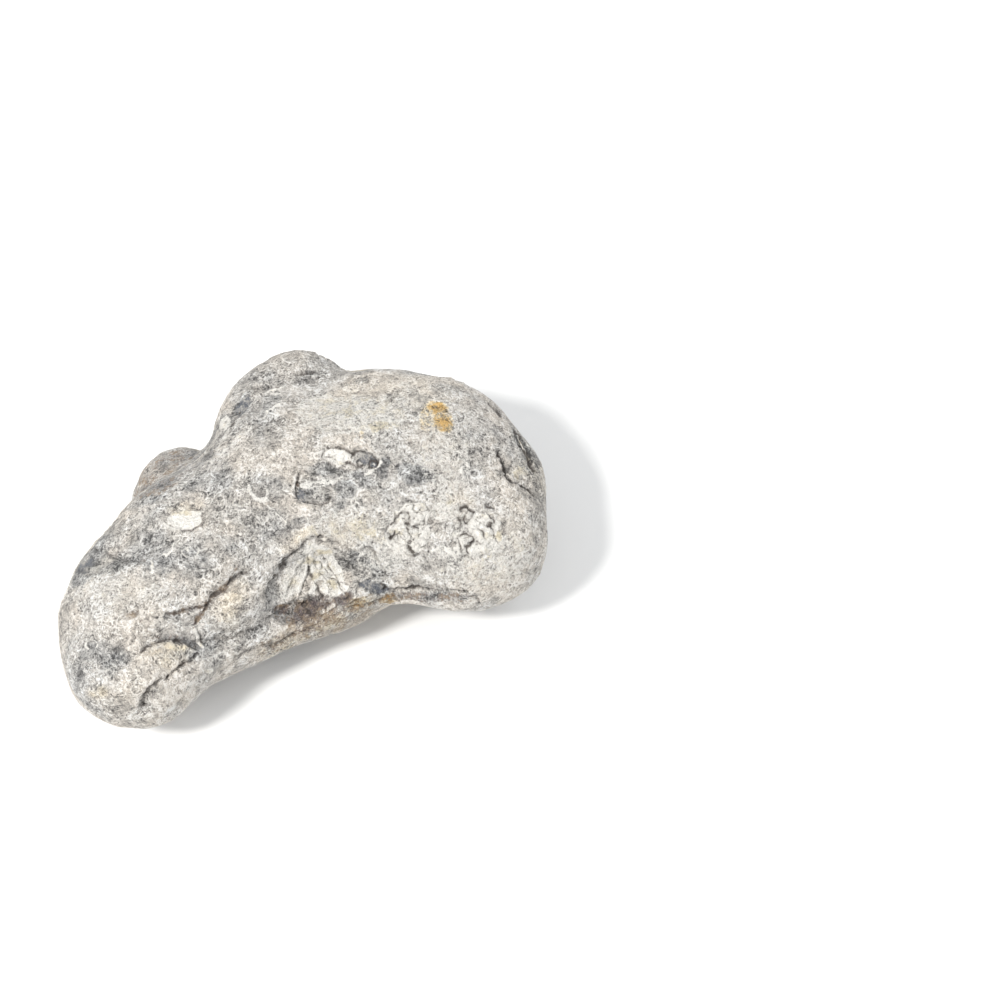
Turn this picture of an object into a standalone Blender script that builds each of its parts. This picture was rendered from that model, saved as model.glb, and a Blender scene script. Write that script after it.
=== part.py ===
"""Flint nodule: a lobed, beach-worn stone that grew as one piece and rests on a small flat spot.

Metres, +Z up. The origin is the middle of the underside of the box around the nodule.
+X runs along its length, and -Y is its front, where the alcove and the long furrow are.
The shape is a distance field: lobes run into each other, one hollow is scooped from the front,
and furrows, ledges and swells are raised on or cut into that. A skin of points is then drawn
onto the field, so the whole nodule is one closed solid.
"""

import math
from dataclasses import dataclass

import bmesh
import bpy
import numpy as np
from mathutils import Euler, Matrix

MM = 0.001

# Driving dimensions of the whole nodule.
LENGTH = 175 * MM
WIDTH = 150 * MM
HEIGHT = 68.5 * MM
SPOT_DEPTH = 1.6 * MM  # how much of the underside is worn flat where it rests

# How the skin is made.
FACET = 3.7 * MM  # side of the skin's facets
LOBE_BLEND = 5.0  # how softly the lobes run into each other, in millimetres
RIM_BLEND = 1.6  # how round the hollow's rim is, in millimetres
LEDGE_RISE = 0.35  # share of a ledge's drop that lifts its high side
FIELD_STEP = 0.05  # spacing used for the field's slope, in millimetres
STEEPNESS_FLOOR = 0.3  # keeps a point from leaping where the field is nearly level
BALL_DETAIL = 4  # times that a lobe's ball is subdivided
SETTLE_ROUNDS = 5
EVEN_ROUNDS = 5
LAST_ROUNDS = 4
SLIDES_PER_ROUND = 3
SLIDE = 0.5  # share of the way to its neighbours that a point goes in each slide


def turned(turn, tip):
    """The axes of something turned about +Z and tipped about its own length, as columns."""
    return np.array(Euler((math.radians(tip), 0.0, math.radians(turn)), "XYZ").to_matrix())


@dataclass(frozen=True)
class Lobe:
    """One swelling of the nodule, or a hollow scooped from it: a full ellipsoid."""

    name: str
    middle: tuple
    reach: tuple  # how far it goes along its own three axes
    turn: float = 0.0  # degrees about +Z
    tip: float = 0.0  # degrees about its own length
    fullness: float = 2.0  # 2 is an ellipsoid, and more is flatter on top with tighter rims

    def distance(self, points):
        """Distance from each point to its skin, negative inside."""
        reach = np.array(self.reach, float)
        share = np.abs((points - np.array(self.middle)) @ turned(self.turn, self.tip)) / reach
        share = share + 1e-9
        near = (share**self.fullness).sum(axis=1) ** (1.0 / self.fullness)
        slope = np.linalg.norm((share / near[:, None]) ** (self.fullness - 1.0) / reach, axis=1)
        return (near - 1.0) / slope


@dataclass(frozen=True)
class Swell:
    """A low rise that fades out all round, or a dip where its height is negative."""

    name: str
    middle: tuple
    reach: tuple
    height: float
    turn: float = 0.0
    tip: float = 0.0

    def rise(self, points):
        """How far it lifts the skin at each point."""
        share = ((points - np.array(self.middle)) @ turned(self.turn, self.tip)) / self.reach
        return self.height * np.exp(-(share**2).sum(axis=1))


def nearest_on(line, points):
    """For each point, the step to it from the nearest place on a line of straight runs."""
    best = None
    for start, end in zip(np.array(line[:-1], float), np.array(line[1:], float)):
        run = end - start
        along = np.clip(((points - start) @ run) / (run @ run), 0.0, 1.0)
        step = points - (start + along[:, None] * run)
        gap = np.linalg.norm(step, axis=1)
        if best is None:
            best, closest = step, gap
        else:
            nearer = gap < closest
            best = np.where(nearer[:, None], step, best)
            closest = np.where(nearer, gap, closest)
    return best, closest


@dataclass(frozen=True)
class Furrow:
    """A furrow along a line, or a ridge where its depth is negative."""

    name: str
    line: tuple
    half_width: float
    depth: float

    def rise(self, points):
        """How far it lifts the skin at each point."""
        _, gap = nearest_on(self.line, points)
        return -self.depth * np.exp(-((gap / self.half_width) ** 2))


@dataclass(frozen=True)
class Ledge:
    """A step along a line: the skin drops on its low side and comes back gently from there."""

    name: str
    line: tuple
    low_side: tuple  # which way the low side lies
    drop: float
    edge: float  # half the width of the step itself
    fade: float  # how far from the line the step is felt

    def rise(self, points):
        """How far it lifts the skin at each point."""
        step, gap = nearest_on(self.line, points)
        across = step @ (np.array(self.low_side) / np.linalg.norm(self.low_side))
        low = 1.0 / (1.0 + np.exp(-across / (self.edge / 2)))
        return -self.drop * (low - LEDGE_RISE) * np.exp(-((gap / self.fade) ** 2))


# The form, in millimetres.
LOBES = (
    Lobe("left_foot", (-58.5, -37.5, 31), (26, 35.5, 24), turn=5, fullness=2.3),
    Lobe("under_arm", (-37, -29, 29), (34, 23, 23), turn=36, fullness=2.2),
    Lobe("arm", (-37, -9, 34), (32, 31, 27), turn=30, fullness=2.2),
    Lobe("middle", (-6, 13, 34), (36, 42, 31), turn=-10, fullness=2.2),
    Lobe("saddle", (24, 14, 33), (34, 33, 28), fullness=2.3),
    Lobe("right_lobe", (59, 14, 34), (30, 36, 26), fullness=2.3),
    Lobe("right_heel", (65, -3, 32), (20, 20, 20), fullness=2.2),
    Lobe("shoulder", (38, 37, 35), (37, 31, 27), turn=-14, fullness=2.3),
    Lobe("front_wall", (-8, -14, 26), (46, 22, 20), turn=18),
    Lobe("knob", (-5, 61, 38), (17, 17, 17)),
    Lobe("knob_root", (-17, 47, 34), (16, 18, 18)),
    Lobe("back_left", (-47, 27, 19), (20, 20, 14)),
    Lobe("seat", (0, 7, 19), (32, 27, 19)),
)
HOLLOWS = (
    Lobe("alcove", (12, -34, 51), (23, 18, 17), turn=10, tip=-20),
    Lobe("cavity", (5, -40, 39), (17, 10, 8), turn=10),
)
RELIEF = (
    Furrow("arm_furrow", ((-47, -54, 51), (-37, -53, 49), (-27, -48, 43), (-14, -41, 40)), 4.5, 3.0),
    Furrow("crease", ((-36, -56, 45), (-41, -61, 45), (-47, -67, 44), (-51, -70, 38)), 4.0, 2.0),
    Ledge("arm_ledge", ((-19, -24, 58), (-22, -30, 56), (-31, -38, 54), (-43, -44, 55)), (0.5, -0.7, -0.1),
          2.8, 2.0, 9.0),
    Furrow("under_lip", ((30, -22, 38), (37, -21, 37), (45, -22, 37), (54, -24, 34)), 3.6, 2.4),
    Swell("under_lip_sill", (41, -21, 27), (14, 8, 5), 1.6),
    Furrow("knob_furrow", ((-20, 43, 58), (-12, 48, 58), (-4, 52, 57), (5, 58, 55)), 5.0, 1.6),
    Furrow("right_crack", ((72, 17, 59), (77, 12, 57), (84, 9, 51)), 4.0, 2.0),
    Swell("yellow_lump", (-22, -36, 51), (9, 7, 8), 1.4, turn=30),
    Swell("foot_lump", (-47, -60, 49), (10, 8, 9), 2.2, turn=35),
    Swell("foot_valley", (-52, -20, 58), (16, 6, 8), -1.6, turn=2),
    Swell("foot_crown", (-60, -33, 56), (16, 9, 8), 1.0, turn=8),
    Swell("right_facet", (80, 20, 54), (8, 11, 10), -1.7),
    Swell("grey_basin", (17, 9, 64), (17, 9, 6), -1.5, turn=22),
    Swell("ring_basin", (-11, 28, 64), (10, 9, 6), -0.9),
    Swell("top_swell", (36, 27, 64), (20, 12, 8), 0.8),
    Swell("white_oval", (-38, -9, 62), (9, 5, 5), -0.8, turn=20),
    Swell("crust_left", (43, -10, 56), (8, 9, 8), 1.0),
    Swell("crust_right", (64, -10, 57), (9, 8, 8), 1.1),
    Swell("between_crusts", (53, -13, 56), (5, 10, 8), -1.0),
    Swell("back_scar", (62, 47, 34), (13, 9, 12), -2.6, turn=-40),
    Swell("back_dip", (16, 66, 28), (13, 8, 10), -2.2),
    Furrow("back_furrow", ((-40, 46, 26), (-33, 42, 34), (-29, 36, 44)), 5.0, 1.2),
    Furrow("end_furrow", ((-82, -26, 38), (-80, -14, 30), (-70, -4, 20)), 5.0, 1.6),
    Swell("under_pit", (46, 8, 5), (12, 10, 7), -2.6, turn=25),
    Swell("under_foot", (-58, -44, 4), (14, 10, 7), -2.0, turn=30),
    Furrow("under_seam", ((24, 48, 10), (10, 44, 5), (-10, 44, 5), (-28, 36, 6)), 5.0, 2.0),
)
# Slow waves in the skin: which way each runs, its length and its height in millimetres.
WAVES = (
    ((0.9, 0.4, 0.2), 37.0, 0.45),
    ((-0.3, 0.9, 0.3), 31.0, 0.40),
    ((0.5, -0.6, 0.6), 23.0, 0.30),
    ((0.2, 0.3, 0.9), 27.0, 0.35),
)


def blended(distances, softness):
    """The lowest of several distances, rounded over where they meet."""
    lowest = distances.min(axis=0)
    rest = np.exp(-(distances - lowest) / softness).sum(axis=0)
    return lowest - softness * np.log(rest)


def waves(points):
    """How far the slow waves lift the skin at each point."""
    lift = np.zeros(len(points))
    for way, length, height in WAVES:
        along = points @ (np.array(way) / np.linalg.norm(way))
        lift = lift + height * np.sin(2 * math.pi * along / length)
    return lift


def field(points):
    """Distance from each point to the nodule's skin, negative inside."""
    solid = blended(np.array([lobe.distance(points) for lobe in LOBES]), LOBE_BLEND)
    void = np.array([hollow.distance(points) for hollow in HOLLOWS])
    solid = -blended(np.concatenate([[-solid], void]), RIM_BLEND)
    return solid - waves(points) - sum(feature.rise(points) for feature in RELIEF)


def slope(points):
    """The field's gradient at each point."""
    columns = []
    for axis in FIELD_STEP * np.eye(3):
        columns.append((field(points + axis) - field(points - axis)) / (2 * FIELD_STEP))
    return np.stack(columns, axis=1)


def settled(points):
    """The points drawn onto the nodule's skin."""
    for _ in range(SETTLE_ROUNDS):
        gradient = slope(points)
        steepness = np.maximum((gradient**2).sum(axis=1), STEEPNESS_FLOOR)
        points = points - gradient * (field(points) / steepness)[:, None]
    return points


def rough_body():
    """The lobes as overlapping balls in one object, remeshed into one closed skin."""
    balls = bmesh.new()
    for lobe in LOBES:
        place = Matrix.Translation(lobe.middle) @ Matrix(turned(lobe.turn, lobe.tip).tolist()).to_4x4()
        shape = Matrix.Diagonal((*lobe.reach, 1.0))
        made = bmesh.ops.create_icosphere(balls, subdivisions=BALL_DETAIL, radius=1.0)
        bmesh.ops.transform(balls, matrix=place @ shape, verts=made["verts"])
    bmesh.ops.scale(balls, vec=(MM, MM, MM), verts=balls.verts)
    mesh = bpy.data.meshes.new("balls")
    balls.to_mesh(mesh)
    balls.free()
    body = bpy.data.objects.new("balls", mesh)
    bpy.context.scene.collection.objects.link(body)
    remesh = body.modifiers.new("one_skin", "REMESH")
    remesh.mode = "VOXEL"
    remesh.voxel_size = FACET
    graph = bpy.context.evaluated_depsgraph_get()
    skin = bpy.data.meshes.new_from_object(body.evaluated_get(graph))
    bpy.data.objects.remove(body)
    return skin


def coordinates(mesh):
    """The mesh's points in millimetres."""
    flat = np.empty(len(mesh.vertices) * 3)
    mesh.vertices.foreach_get("co", flat)
    return flat.reshape(-1, 3) / MM


def set_coordinates(mesh, points):
    """Moves the mesh's points to these, given in millimetres."""
    mesh.vertices.foreach_set("co", (points * MM).ravel())
    mesh.update()


def cut_to_triangles(mesh):
    """Splits every facet into triangles along its better diagonal."""
    skin = bmesh.new()
    skin.from_mesh(mesh)
    bmesh.ops.triangulate(skin, faces=skin.faces, quad_method="BEAUTY")
    bmesh.ops.beautify_fill(skin, faces=skin.faces, edges=skin.edges, method="ANGLE")
    skin.to_mesh(mesh)
    skin.free()


def even_out(mesh, rounds):
    """Slides the points along the skin until the facets are alike."""
    for _ in range(rounds):
        skin = bmesh.new()
        skin.from_mesh(mesh)
        for _ in range(SLIDES_PER_ROUND):
            bmesh.ops.smooth_vert(
                skin, verts=skin.verts, factor=SLIDE, use_axis_x=True, use_axis_y=True, use_axis_z=True
            )
        skin.to_mesh(mesh)
        skin.free()
        set_coordinates(mesh, settled(coordinates(mesh)))


def seated(points):
    """The points with the underside worn flat, fitted to the driving dimensions and set on z=0."""
    points = points.copy()
    floor = points[:, 2].min() + SPOT_DEPTH / MM
    points[:, 2] = np.maximum(points[:, 2], floor)
    low, high = points.min(axis=0), points.max(axis=0)
    size = np.array([LENGTH, WIDTH, HEIGHT]) / MM
    foot = np.array([(low[0] + high[0]) / 2, (low[1] + high[1]) / 2, floor])
    return (points - foot) * size / (high - low)


def flint():
    """The flint's material."""
    material = bpy.data.materials.new("flint_cortex")
    material.use_nodes = True
    shader = material.node_tree.nodes["Principled BSDF"]
    shader.inputs["Base Color"].default_value = (0.52, 0.49, 0.45, 1.0)
    shader.inputs["Roughness"].default_value = 0.7
    return material


def build():
    """Makes the nodule."""
    for old in list(bpy.data.objects):
        bpy.data.objects.remove(old)
    mesh = rough_body()
    even_out(mesh, EVEN_ROUNDS)
    cut_to_triangles(mesh)
    even_out(mesh, LAST_ROUNDS)
    set_coordinates(mesh, seated(coordinates(mesh)))
    nodule = bpy.data.objects.new("nodule", mesh)
    bpy.context.scene.collection.objects.link(nodule)
    nodule.data.materials.append(flint())
    return nodule


build()
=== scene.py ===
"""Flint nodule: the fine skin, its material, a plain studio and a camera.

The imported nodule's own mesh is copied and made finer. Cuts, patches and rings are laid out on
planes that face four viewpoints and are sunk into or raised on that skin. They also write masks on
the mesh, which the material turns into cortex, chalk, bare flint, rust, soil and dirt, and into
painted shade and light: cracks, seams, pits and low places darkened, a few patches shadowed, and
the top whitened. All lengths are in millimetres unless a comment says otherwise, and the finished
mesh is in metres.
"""

from __future__ import annotations

import logging
import math
from dataclasses import dataclass, field
from enum import Enum, IntEnum
from typing import Iterable, Sequence

import bmesh
import bpy
import numpy as np
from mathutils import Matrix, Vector

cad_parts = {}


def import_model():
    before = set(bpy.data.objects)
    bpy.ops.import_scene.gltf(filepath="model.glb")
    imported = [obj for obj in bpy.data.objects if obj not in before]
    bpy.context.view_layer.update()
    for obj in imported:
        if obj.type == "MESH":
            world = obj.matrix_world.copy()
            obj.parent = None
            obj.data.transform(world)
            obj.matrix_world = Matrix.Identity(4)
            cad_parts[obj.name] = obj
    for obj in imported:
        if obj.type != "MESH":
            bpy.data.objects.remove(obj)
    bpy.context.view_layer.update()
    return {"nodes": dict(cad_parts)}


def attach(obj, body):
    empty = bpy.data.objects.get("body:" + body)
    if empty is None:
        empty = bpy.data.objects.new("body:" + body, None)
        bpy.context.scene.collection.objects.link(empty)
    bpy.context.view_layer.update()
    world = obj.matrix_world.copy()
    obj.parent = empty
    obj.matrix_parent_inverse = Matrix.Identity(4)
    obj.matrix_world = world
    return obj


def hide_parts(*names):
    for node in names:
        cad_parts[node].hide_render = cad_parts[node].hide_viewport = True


LOG = logging.getLogger("flint_nodule")

MM = 0.001
BODY = "root"
NODE = "nodule"
# How far a point of the skin must face a viewpoint for its marks to reach it.
VISIBLE = 0.02
# How much of the weaker of two overlapping marks is added to the stronger.
OVERLAP = 0.35
# The most that a mask holds.
MASK_TOP = 1.5
# The share of a line's run that a rounded corner takes at either end.
CORNER = 0.25

Point2 = tuple[float, float]
Point3 = tuple[float, float, float]
Colour = tuple[float, float, float]
Array = np.ndarray
Socket = bpy.types.NodeSocket
Sockets = bpy.types.NodeOutputs


class Mask(Enum):
    """The masks that the skin carries for its material."""

    GREY = "grey"
    WARM = "warm"
    CHALK = "chalk"
    RUST = "rust"
    # Soil in the hollows, and painted shadow on a few shadowed patches.
    SOIL = "soil"
    # Darkening in cracks, seams, pits, knock-mark ditches and low places: dirt and painted shade.
    CREVICE = "crevice"
    WORN = "worn"


class Level(Enum):
    """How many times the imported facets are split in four."""

    SHOWN = 2
    FINE = 3
    FINEST = 4


class Seed(IntEnum):
    """What sets the skin's noises apart. The WANDERs use the next number too, and BEND the next two."""

    WAVER = 5
    FRAY = 7
    WANDER_RIGHT = 11
    WANDER_UP = 21
    SWELL = 31
    KNOCKED = 35
    PLATE = 37
    GRAIN = 41
    PIT = 51
    SHARD = 61
    SPLINTER = 62
    SEAM = 63
    BEND = 81


def smoothstep(low: float, high: float, values: Array) -> Array:
    """Goes smoothly from 0 at low to 1 at high.

    Args:
        low: Where the result is 0. It may lie above high.
        high: Where the result is 1.
        values: The values to map.

    Returns:
        The mapped values, 0 to 1.
    """
    share = np.clip((values - low) / (high - low), 0.0, 1.0)
    return share * share * (3.0 - 2.0 * share)


@dataclass(frozen=True)
class Plates:
    """Which plate of cellular noise each point lies on.

    Attributes:
        middle: How far the plate's middle is.
        edge: How far the plate's edge is, about.
        number: The plate's own random number, 0 to 1.
        tilt: The height of the plate, tilted its own way, between about -1 and 1.
    """

    middle: Array
    edge: Array
    number: Array
    tilt: Array


@dataclass(frozen=True)
class Noise:
    """Smooth noise in three dimensions that is the same on every run.

    Attributes:
        seed: Sets it apart from other noise.
    """

    seed: int

    # What scatters a cell's place and the seed into 64 random bits, and how many aren't used.
    PLACE_FACTORS = (73856093, 19349663, 83492791)
    SEED_FACTOR = 2654435761
    SCRAMBLERS = ((33, 0xFF51AFD7ED558CCD), (29, 0xC4CEB9FE1A85EC53), (32, 1))
    UNUSED = 11
    # Added to a cell's place, so that it is never below zero.
    CELL_OFFSET = 1000000
    # Brings gradient noise to between about -1 and 1.
    GAIN = 1.6
    # How far each finer layer is moved from the last.
    LAYER_SHIFT = 17.3
    # What turns a plate's three random numbers into its own number and its slope.
    NUMBER_FACTORS = (7.13, 3.77)
    SLOPE_FACTOR = 5.31
    # Farther than any plate's middle, in cells.
    FAR = 9.0

    def _hashed(self, cells: Array) -> Array:
        """Makes three repeatable random numbers, 0 to 1, for each whole-number cell."""
        places = (cells + self.CELL_OFFSET).astype(np.uint64)
        mixed = np.uint64(self.seed * self.SEED_FACTOR)
        for axis, factor in enumerate(self.PLACE_FACTORS):
            mixed = mixed ^ (places[..., axis] * np.uint64(factor))
        parts = []
        for _ in range(3):
            for shift, factor in self.SCRAMBLERS:
                mixed = (mixed ^ (mixed >> np.uint64(shift))) * np.uint64(factor)
            parts.append((mixed >> np.uint64(self.UNUSED)).astype(float) / 2.0 ** (64 - self.UNUSED))
        return np.stack(parts, axis=-1)

    def smooth(self, points: Array, size: float) -> Array:
        """Gradient noise.

        Args:
            points: Where it is read, one row each.
            size: The distance over which it changes.

        Returns:
            Values between about -1 and 1.
        """
        scaled = points / size
        corner = np.floor(scaled).astype(np.int64)
        inside = scaled - corner
        ease = inside * inside * inside * (inside * (inside * 6.0 - 15.0) + 10.0)
        total = np.zeros(len(points))
        for step in np.ndindex(2, 2, 2):
            offset = np.array(step)
            slope = self._hashed(corner + offset) * 2.0 - 1.0
            weight = np.prod(np.where(offset == 1, ease, 1.0 - ease), axis=1)
            total += weight * (slope * (inside - offset)).sum(axis=1)
        return total * self.GAIN

    def layered(self, points: Array, size: float, layers: int) -> Array:
        """Gradient noise with finer, weaker layers added.

        Args:
            points: Where it is read.
            size: The size of the coarsest layer.
            layers: How many layers there are, each half the size and strength of the last.

        Returns:
            Values between about -1 and 1.
        """
        total = np.zeros(len(points))
        for layer in range(layers):
            share = 0.5**layer
            total += share * self.smooth(points + self.LAYER_SHIFT * layer, size * share)
        return total

    def cells(self, points: Array, size: float) -> Plates:
        """Cellular noise: scattered centres about one size apart, each with its own plate.

        Args:
            points: Where it is read.
            size: The spacing of the centres.

        Returns:
            What is known of the plate that each point lies on.
        """
        scaled = points / size
        corner = np.floor(scaled).astype(np.int64)
        nearest = np.full(len(points), self.FAR)
        second = np.full(len(points), self.FAR)
        number = np.zeros(len(points))
        tilt = np.zeros(len(points))
        first, other = self.NUMBER_FACTORS
        for step in np.ndindex(3, 3, 3):
            cell = corner + (np.array(step) - 1)
            chance = self._hashed(cell)
            away = scaled - cell - chance
            gap = np.linalg.norm(away, axis=1)
            closer = gap < nearest
            second = np.where(closer, nearest, np.minimum(second, gap))
            number = np.where(closer, (chance[:, 0] * first + chance[:, 1] * other) % 1.0, number)
            slope = (chance[:, [1, 2, 0]] * self.SLOPE_FACTOR) % 1.0 - 0.5
            tilt = np.where(closer, 2.0 * (away * slope).sum(axis=1), tilt)
            nearest = np.minimum(nearest, gap)
        return Plates(nearest * size, (second - nearest) * size, number, tilt)


@dataclass(frozen=True)
class Sight:
    """A viewpoint and the plane through the nodule that faces it.

    Attributes:
        eye: Where the viewpoint is.
        aim: The point it looks at.
        middle: The point of the nodule that the plane's zero lies on.
    """

    eye: Point3
    aim: Point3
    middle: Point3

    # A line of sight nearer than this to straight up or down takes +X as its right.
    UPRIGHT = 0.01
    # How directly the skin looks at the viewpoint where marks start and where they are full.
    FADE = (0.02, 0.22)

    def axes(self) -> Array:
        """The viewpoint's own right, up and forward, as three rows."""
        forward = np.array(self.aim) - np.array(self.eye)
        forward = forward / np.linalg.norm(forward)
        side = np.cross(forward, (0.0, 0.0, 1.0))
        if np.linalg.norm(side) < self.UPRIGHT:
            side = np.array((1.0, 0.0, 0.0))
        side = side / np.linalg.norm(side)
        return np.stack([side, np.cross(side, forward), forward])

    def flat(self, points: Array) -> Array:
        """Finds where points appear on the plane.

        Args:
            points: Points on the nodule.

        Returns:
            How far right and how far up of the plane's zero each appears.
        """
        seen = (points - np.array(self.eye)) @ self.axes().T
        zero = (np.array(self.middle) - np.array(self.eye)) @ self.axes().T
        return zero[2] * (seen[:, :2] / seen[:, 2:] - zero[:2] / zero[2])

    def facing(self, points: Array, normals: Array) -> Array:
        """How far each point of the skin faces the viewpoint, 0 to 1."""
        toward = np.array(self.eye) - points
        toward = toward / np.linalg.norm(toward, axis=1, keepdims=True)
        return smoothstep(*self.FADE, (normals * toward).sum(axis=1))


@dataclass
class Surface:
    """The points of the skin, and what the marks do to them.

    Attributes:
        points: The points.
        normals: Which way the skin faces at each.
        lift: How far each moves along its normal.
        rough: How broken the skin is at each, 0 to 1.
        detail: How finely the skin is split at each.
        masks: One set of values for each mask.
    """

    points: Array
    normals: Array
    lift: Array = field(init=False)
    rough: Array = field(init=False)
    detail: Array = field(init=False)
    masks: dict[Mask, Array] = field(init=False)

    def __post_init__(self) -> None:
        """Starts with a plain skin."""
        self.lift = np.zeros(len(self.points))
        self.rough = np.zeros(len(self.points))
        self.detail = np.zeros(len(self.points))
        self.masks = {mask: np.zeros(len(self.points)) for mask in Mask}

    def part(self, chosen: Array) -> "Surface":
        """A surface of its own for some of the points, with their values as they are."""
        made = Surface(self.points[chosen], self.normals[chosen])
        made.lift = self.lift[chosen]
        made.rough = self.rough[chosen]
        made.detail = self.detail[chosen]
        made.masks = {mask: values[chosen] for mask, values in self.masks.items()}
        return made

    def merge(self, chosen: Array, part: "Surface") -> None:
        """Takes over the values of a part that was made for these points."""
        self.lift[chosen] = part.lift
        self.rough[chosen] = part.rough
        self.detail[chosen] = part.detail
        for mask, values in part.masks.items():
            self.masks[mask][chosen] = values

    def refine(self, where: Array, level: Level) -> None:
        """Asks for skin at least this fine where it is true."""
        self.detail = np.maximum(self.detail, level.value * where)

    def paint(self, mask: Mask, amount: Array) -> None:
        """Raises a mask to at least this amount, and lets soft amounts add up.

        Args:
            mask: The mask.
            amount: How much, at each point.
        """
        before = self.masks[mask]
        self.masks[mask] = np.maximum(before, amount) + OVERLAP * np.minimum(before, amount)


def rounded(line: Sequence[Point2]) -> Array:
    """The points of a line whose corners are cut off twice, so that it bends smoothly."""
    points = np.array(line, float)
    for _ in range(2):
        starts, ends = points[:-1], points[1:]
        near = (1.0 - CORNER) * starts + CORNER * ends
        far = CORNER * starts + (1.0 - CORNER) * ends
        cut = np.stack([near, far], axis=1).reshape(-1, 2)
        points = np.concatenate([points[:1], cut[1:-1], points[-1:]])
    return points


def distance_to_line(flat: Array, line: Sequence[Point2]) -> Array:
    """Measures how far points lie from a smoothed line.

    Args:
        flat: The points, on the line's plane.
        line: What the line runs through.

    Returns:
        Each point's distance, below zero on the line's right.
    """
    best = np.full(len(flat), np.inf)
    side = np.ones(len(flat))
    points = rounded(line)
    for start, end in zip(points[:-1], points[1:]):
        run = end - start
        away = flat - start
        along = np.clip((away @ run) / (run @ run), 0.0, 1.0)
        gap = np.linalg.norm(away - along[:, None] * run, axis=1)
        closer = gap < best
        side = np.where(closer, np.sign(run[0] * away[:, 1] - run[1] * away[:, 0]), side)
        best = np.minimum(best, gap)
    return best * side


@dataclass(frozen=True)
class Unevenness:
    """Noise that keeps marks from looking drawn.

    Attributes:
        waver: Slow noise that makes a mark come and go.
        fray: Fine noise that makes its edge ragged.
    """

    waver: Array
    fray: Array

    def part(self, chosen: Array) -> "Unevenness":
        """The noise at some of the points."""
        return Unevenness(self.waver[chosen], self.fray[chosen])

    def varied(self, mean: float, swing: float, least: float, most: float) -> Array:
        """A value that swings about its mean with the slow noise."""
        return np.clip(mean + swing * self.waver, least, most)


@dataclass(frozen=True)
class Mark:
    """Anything laid out on a sight's plane.

    Attributes:
        name: What it is.
    """

    name: str

    def extent(self) -> tuple[Array, Array]:
        """The corners of the part of the plane that it can touch."""
        raise NotImplementedError

    def mark(self, surface: Surface, flat: Array, facing: Array, uneven: Unevenness) -> None:
        """Lays it on the skin.

        Args:
            surface: The skin.
            flat: Where the points appear on the plane the mark is laid out on.
            facing: How far each faces that plane's viewpoint.
            uneven: What keeps it from looking drawn.
        """
        raise NotImplementedError


@dataclass(frozen=True)
class Cut(Mark):
    """A crack or furrow along a line, or a raised thread where its depth is below zero.

    Attributes:
        line: The points it runs through.
        half_width: Half its width.
        depth: How deep it is.
        shade: How dark it is painted, 0 to 1: dirt and painted shade in the crack, and painted shade on its
            greyer shoulder.
        chalk: How white it is, 0 to 1.
        step: How much higher the skin lies on its left, or on its right where it is below zero.
    """

    line: tuple[Point2, ...]
    half_width: float
    depth: float
    shade: float = 0.0
    chalk: float = 0.0
    step: float = 0.0

    # How far from a crack the skin beside it stays raised.
    STEP_FADE = 4.5
    # How far it can touch: with a step, and else for each millimetre of half width and beyond.
    STEP_REACH = 9.9
    WIDTH_REACH = 4.0
    MARGIN = 1.5
    # How far noise bends the line: as a share of its half width, and at most.
    FRAY_SHARE = 0.8
    MOST_FRAY = 0.55
    # The soft shoulder beside it, against its own width, depth and darkening by dirt and painted shade.
    SHOULDER_WIDTH = 2.8
    SHOULDER_DEPTH = 0.18
    SHOULDER_DIRT_AND_SHADE = 0.22
    PROFILE_DIRT_AND_SHADE = 0.9
    # How much painted shade greys the skin beside a darkened crack.
    SHOULDER_SHADE = 0.6
    # How far past its half width the skin is made finer, and what counts as thin.
    FINE_MARGIN = 0.45
    FINEST_MARGIN = 0.15
    THIN = 0.50

    def extent(self) -> tuple[Array, Array]:
        """The corners of the part of the plane that it can touch."""
        reach = self.STEP_REACH if self.step else self.WIDTH_REACH * self.half_width + self.MARGIN
        return np.min(self.line, axis=0) - reach, np.max(self.line, axis=0) + reach

    def mark(self, surface: Surface, flat: Array, facing: Array, uneven: Unevenness) -> None:
        """Cuts it into the skin."""
        fray = uneven.fray * min(self.MOST_FRAY, self.FRAY_SHARE * self.half_width)
        signed = distance_to_line(flat, self.line) + fray
        gap = np.abs(signed)
        strength = facing * uneven.varied(0.95, 0.6, 0.5, 1.2)
        width = self.half_width * uneven.varied(1.0, 0.9, 0.55, 1.6)
        profile = np.exp(-((gap / width) ** 2))
        shoulder = np.exp(-((gap / (self.SHOULDER_WIDTH * width)) ** 2))
        surface.lift -= strength * self.depth * (profile + self.SHOULDER_DEPTH * shoulder)
        if self.step:
            across = signed * math.copysign(1.0, self.step) / self.half_width
            raised = np.clip(across + 0.5, 0.0, 1.0) * np.exp(-((gap / self.STEP_FADE) ** 2))
            surface.lift += facing * abs(self.step) * raised
        near = facing > VISIBLE
        thin = self.half_width < self.THIN
        surface.refine(near & (gap < self.half_width + self.FINE_MARGIN), Level.FINE)
        surface.refine(near & (gap < self.half_width + self.FINEST_MARGIN) & thin, Level.FINEST)
        # The crack's dark line is dirt and painted shade, and its greyer shoulder is painted shade.
        if self.shade:
            dirt_and_shade = self.PROFILE_DIRT_AND_SHADE * profile + self.SHOULDER_DIRT_AND_SHADE * shoulder
            surface.paint(Mask.CREVICE, strength * self.shade * dirt_and_shade)
            surface.paint(Mask.GREY, self.SHOULDER_SHADE * strength * self.shade * shoulder)
        if self.chalk:
            surface.paint(Mask.CHALK, strength * self.chalk * profile)


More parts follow.
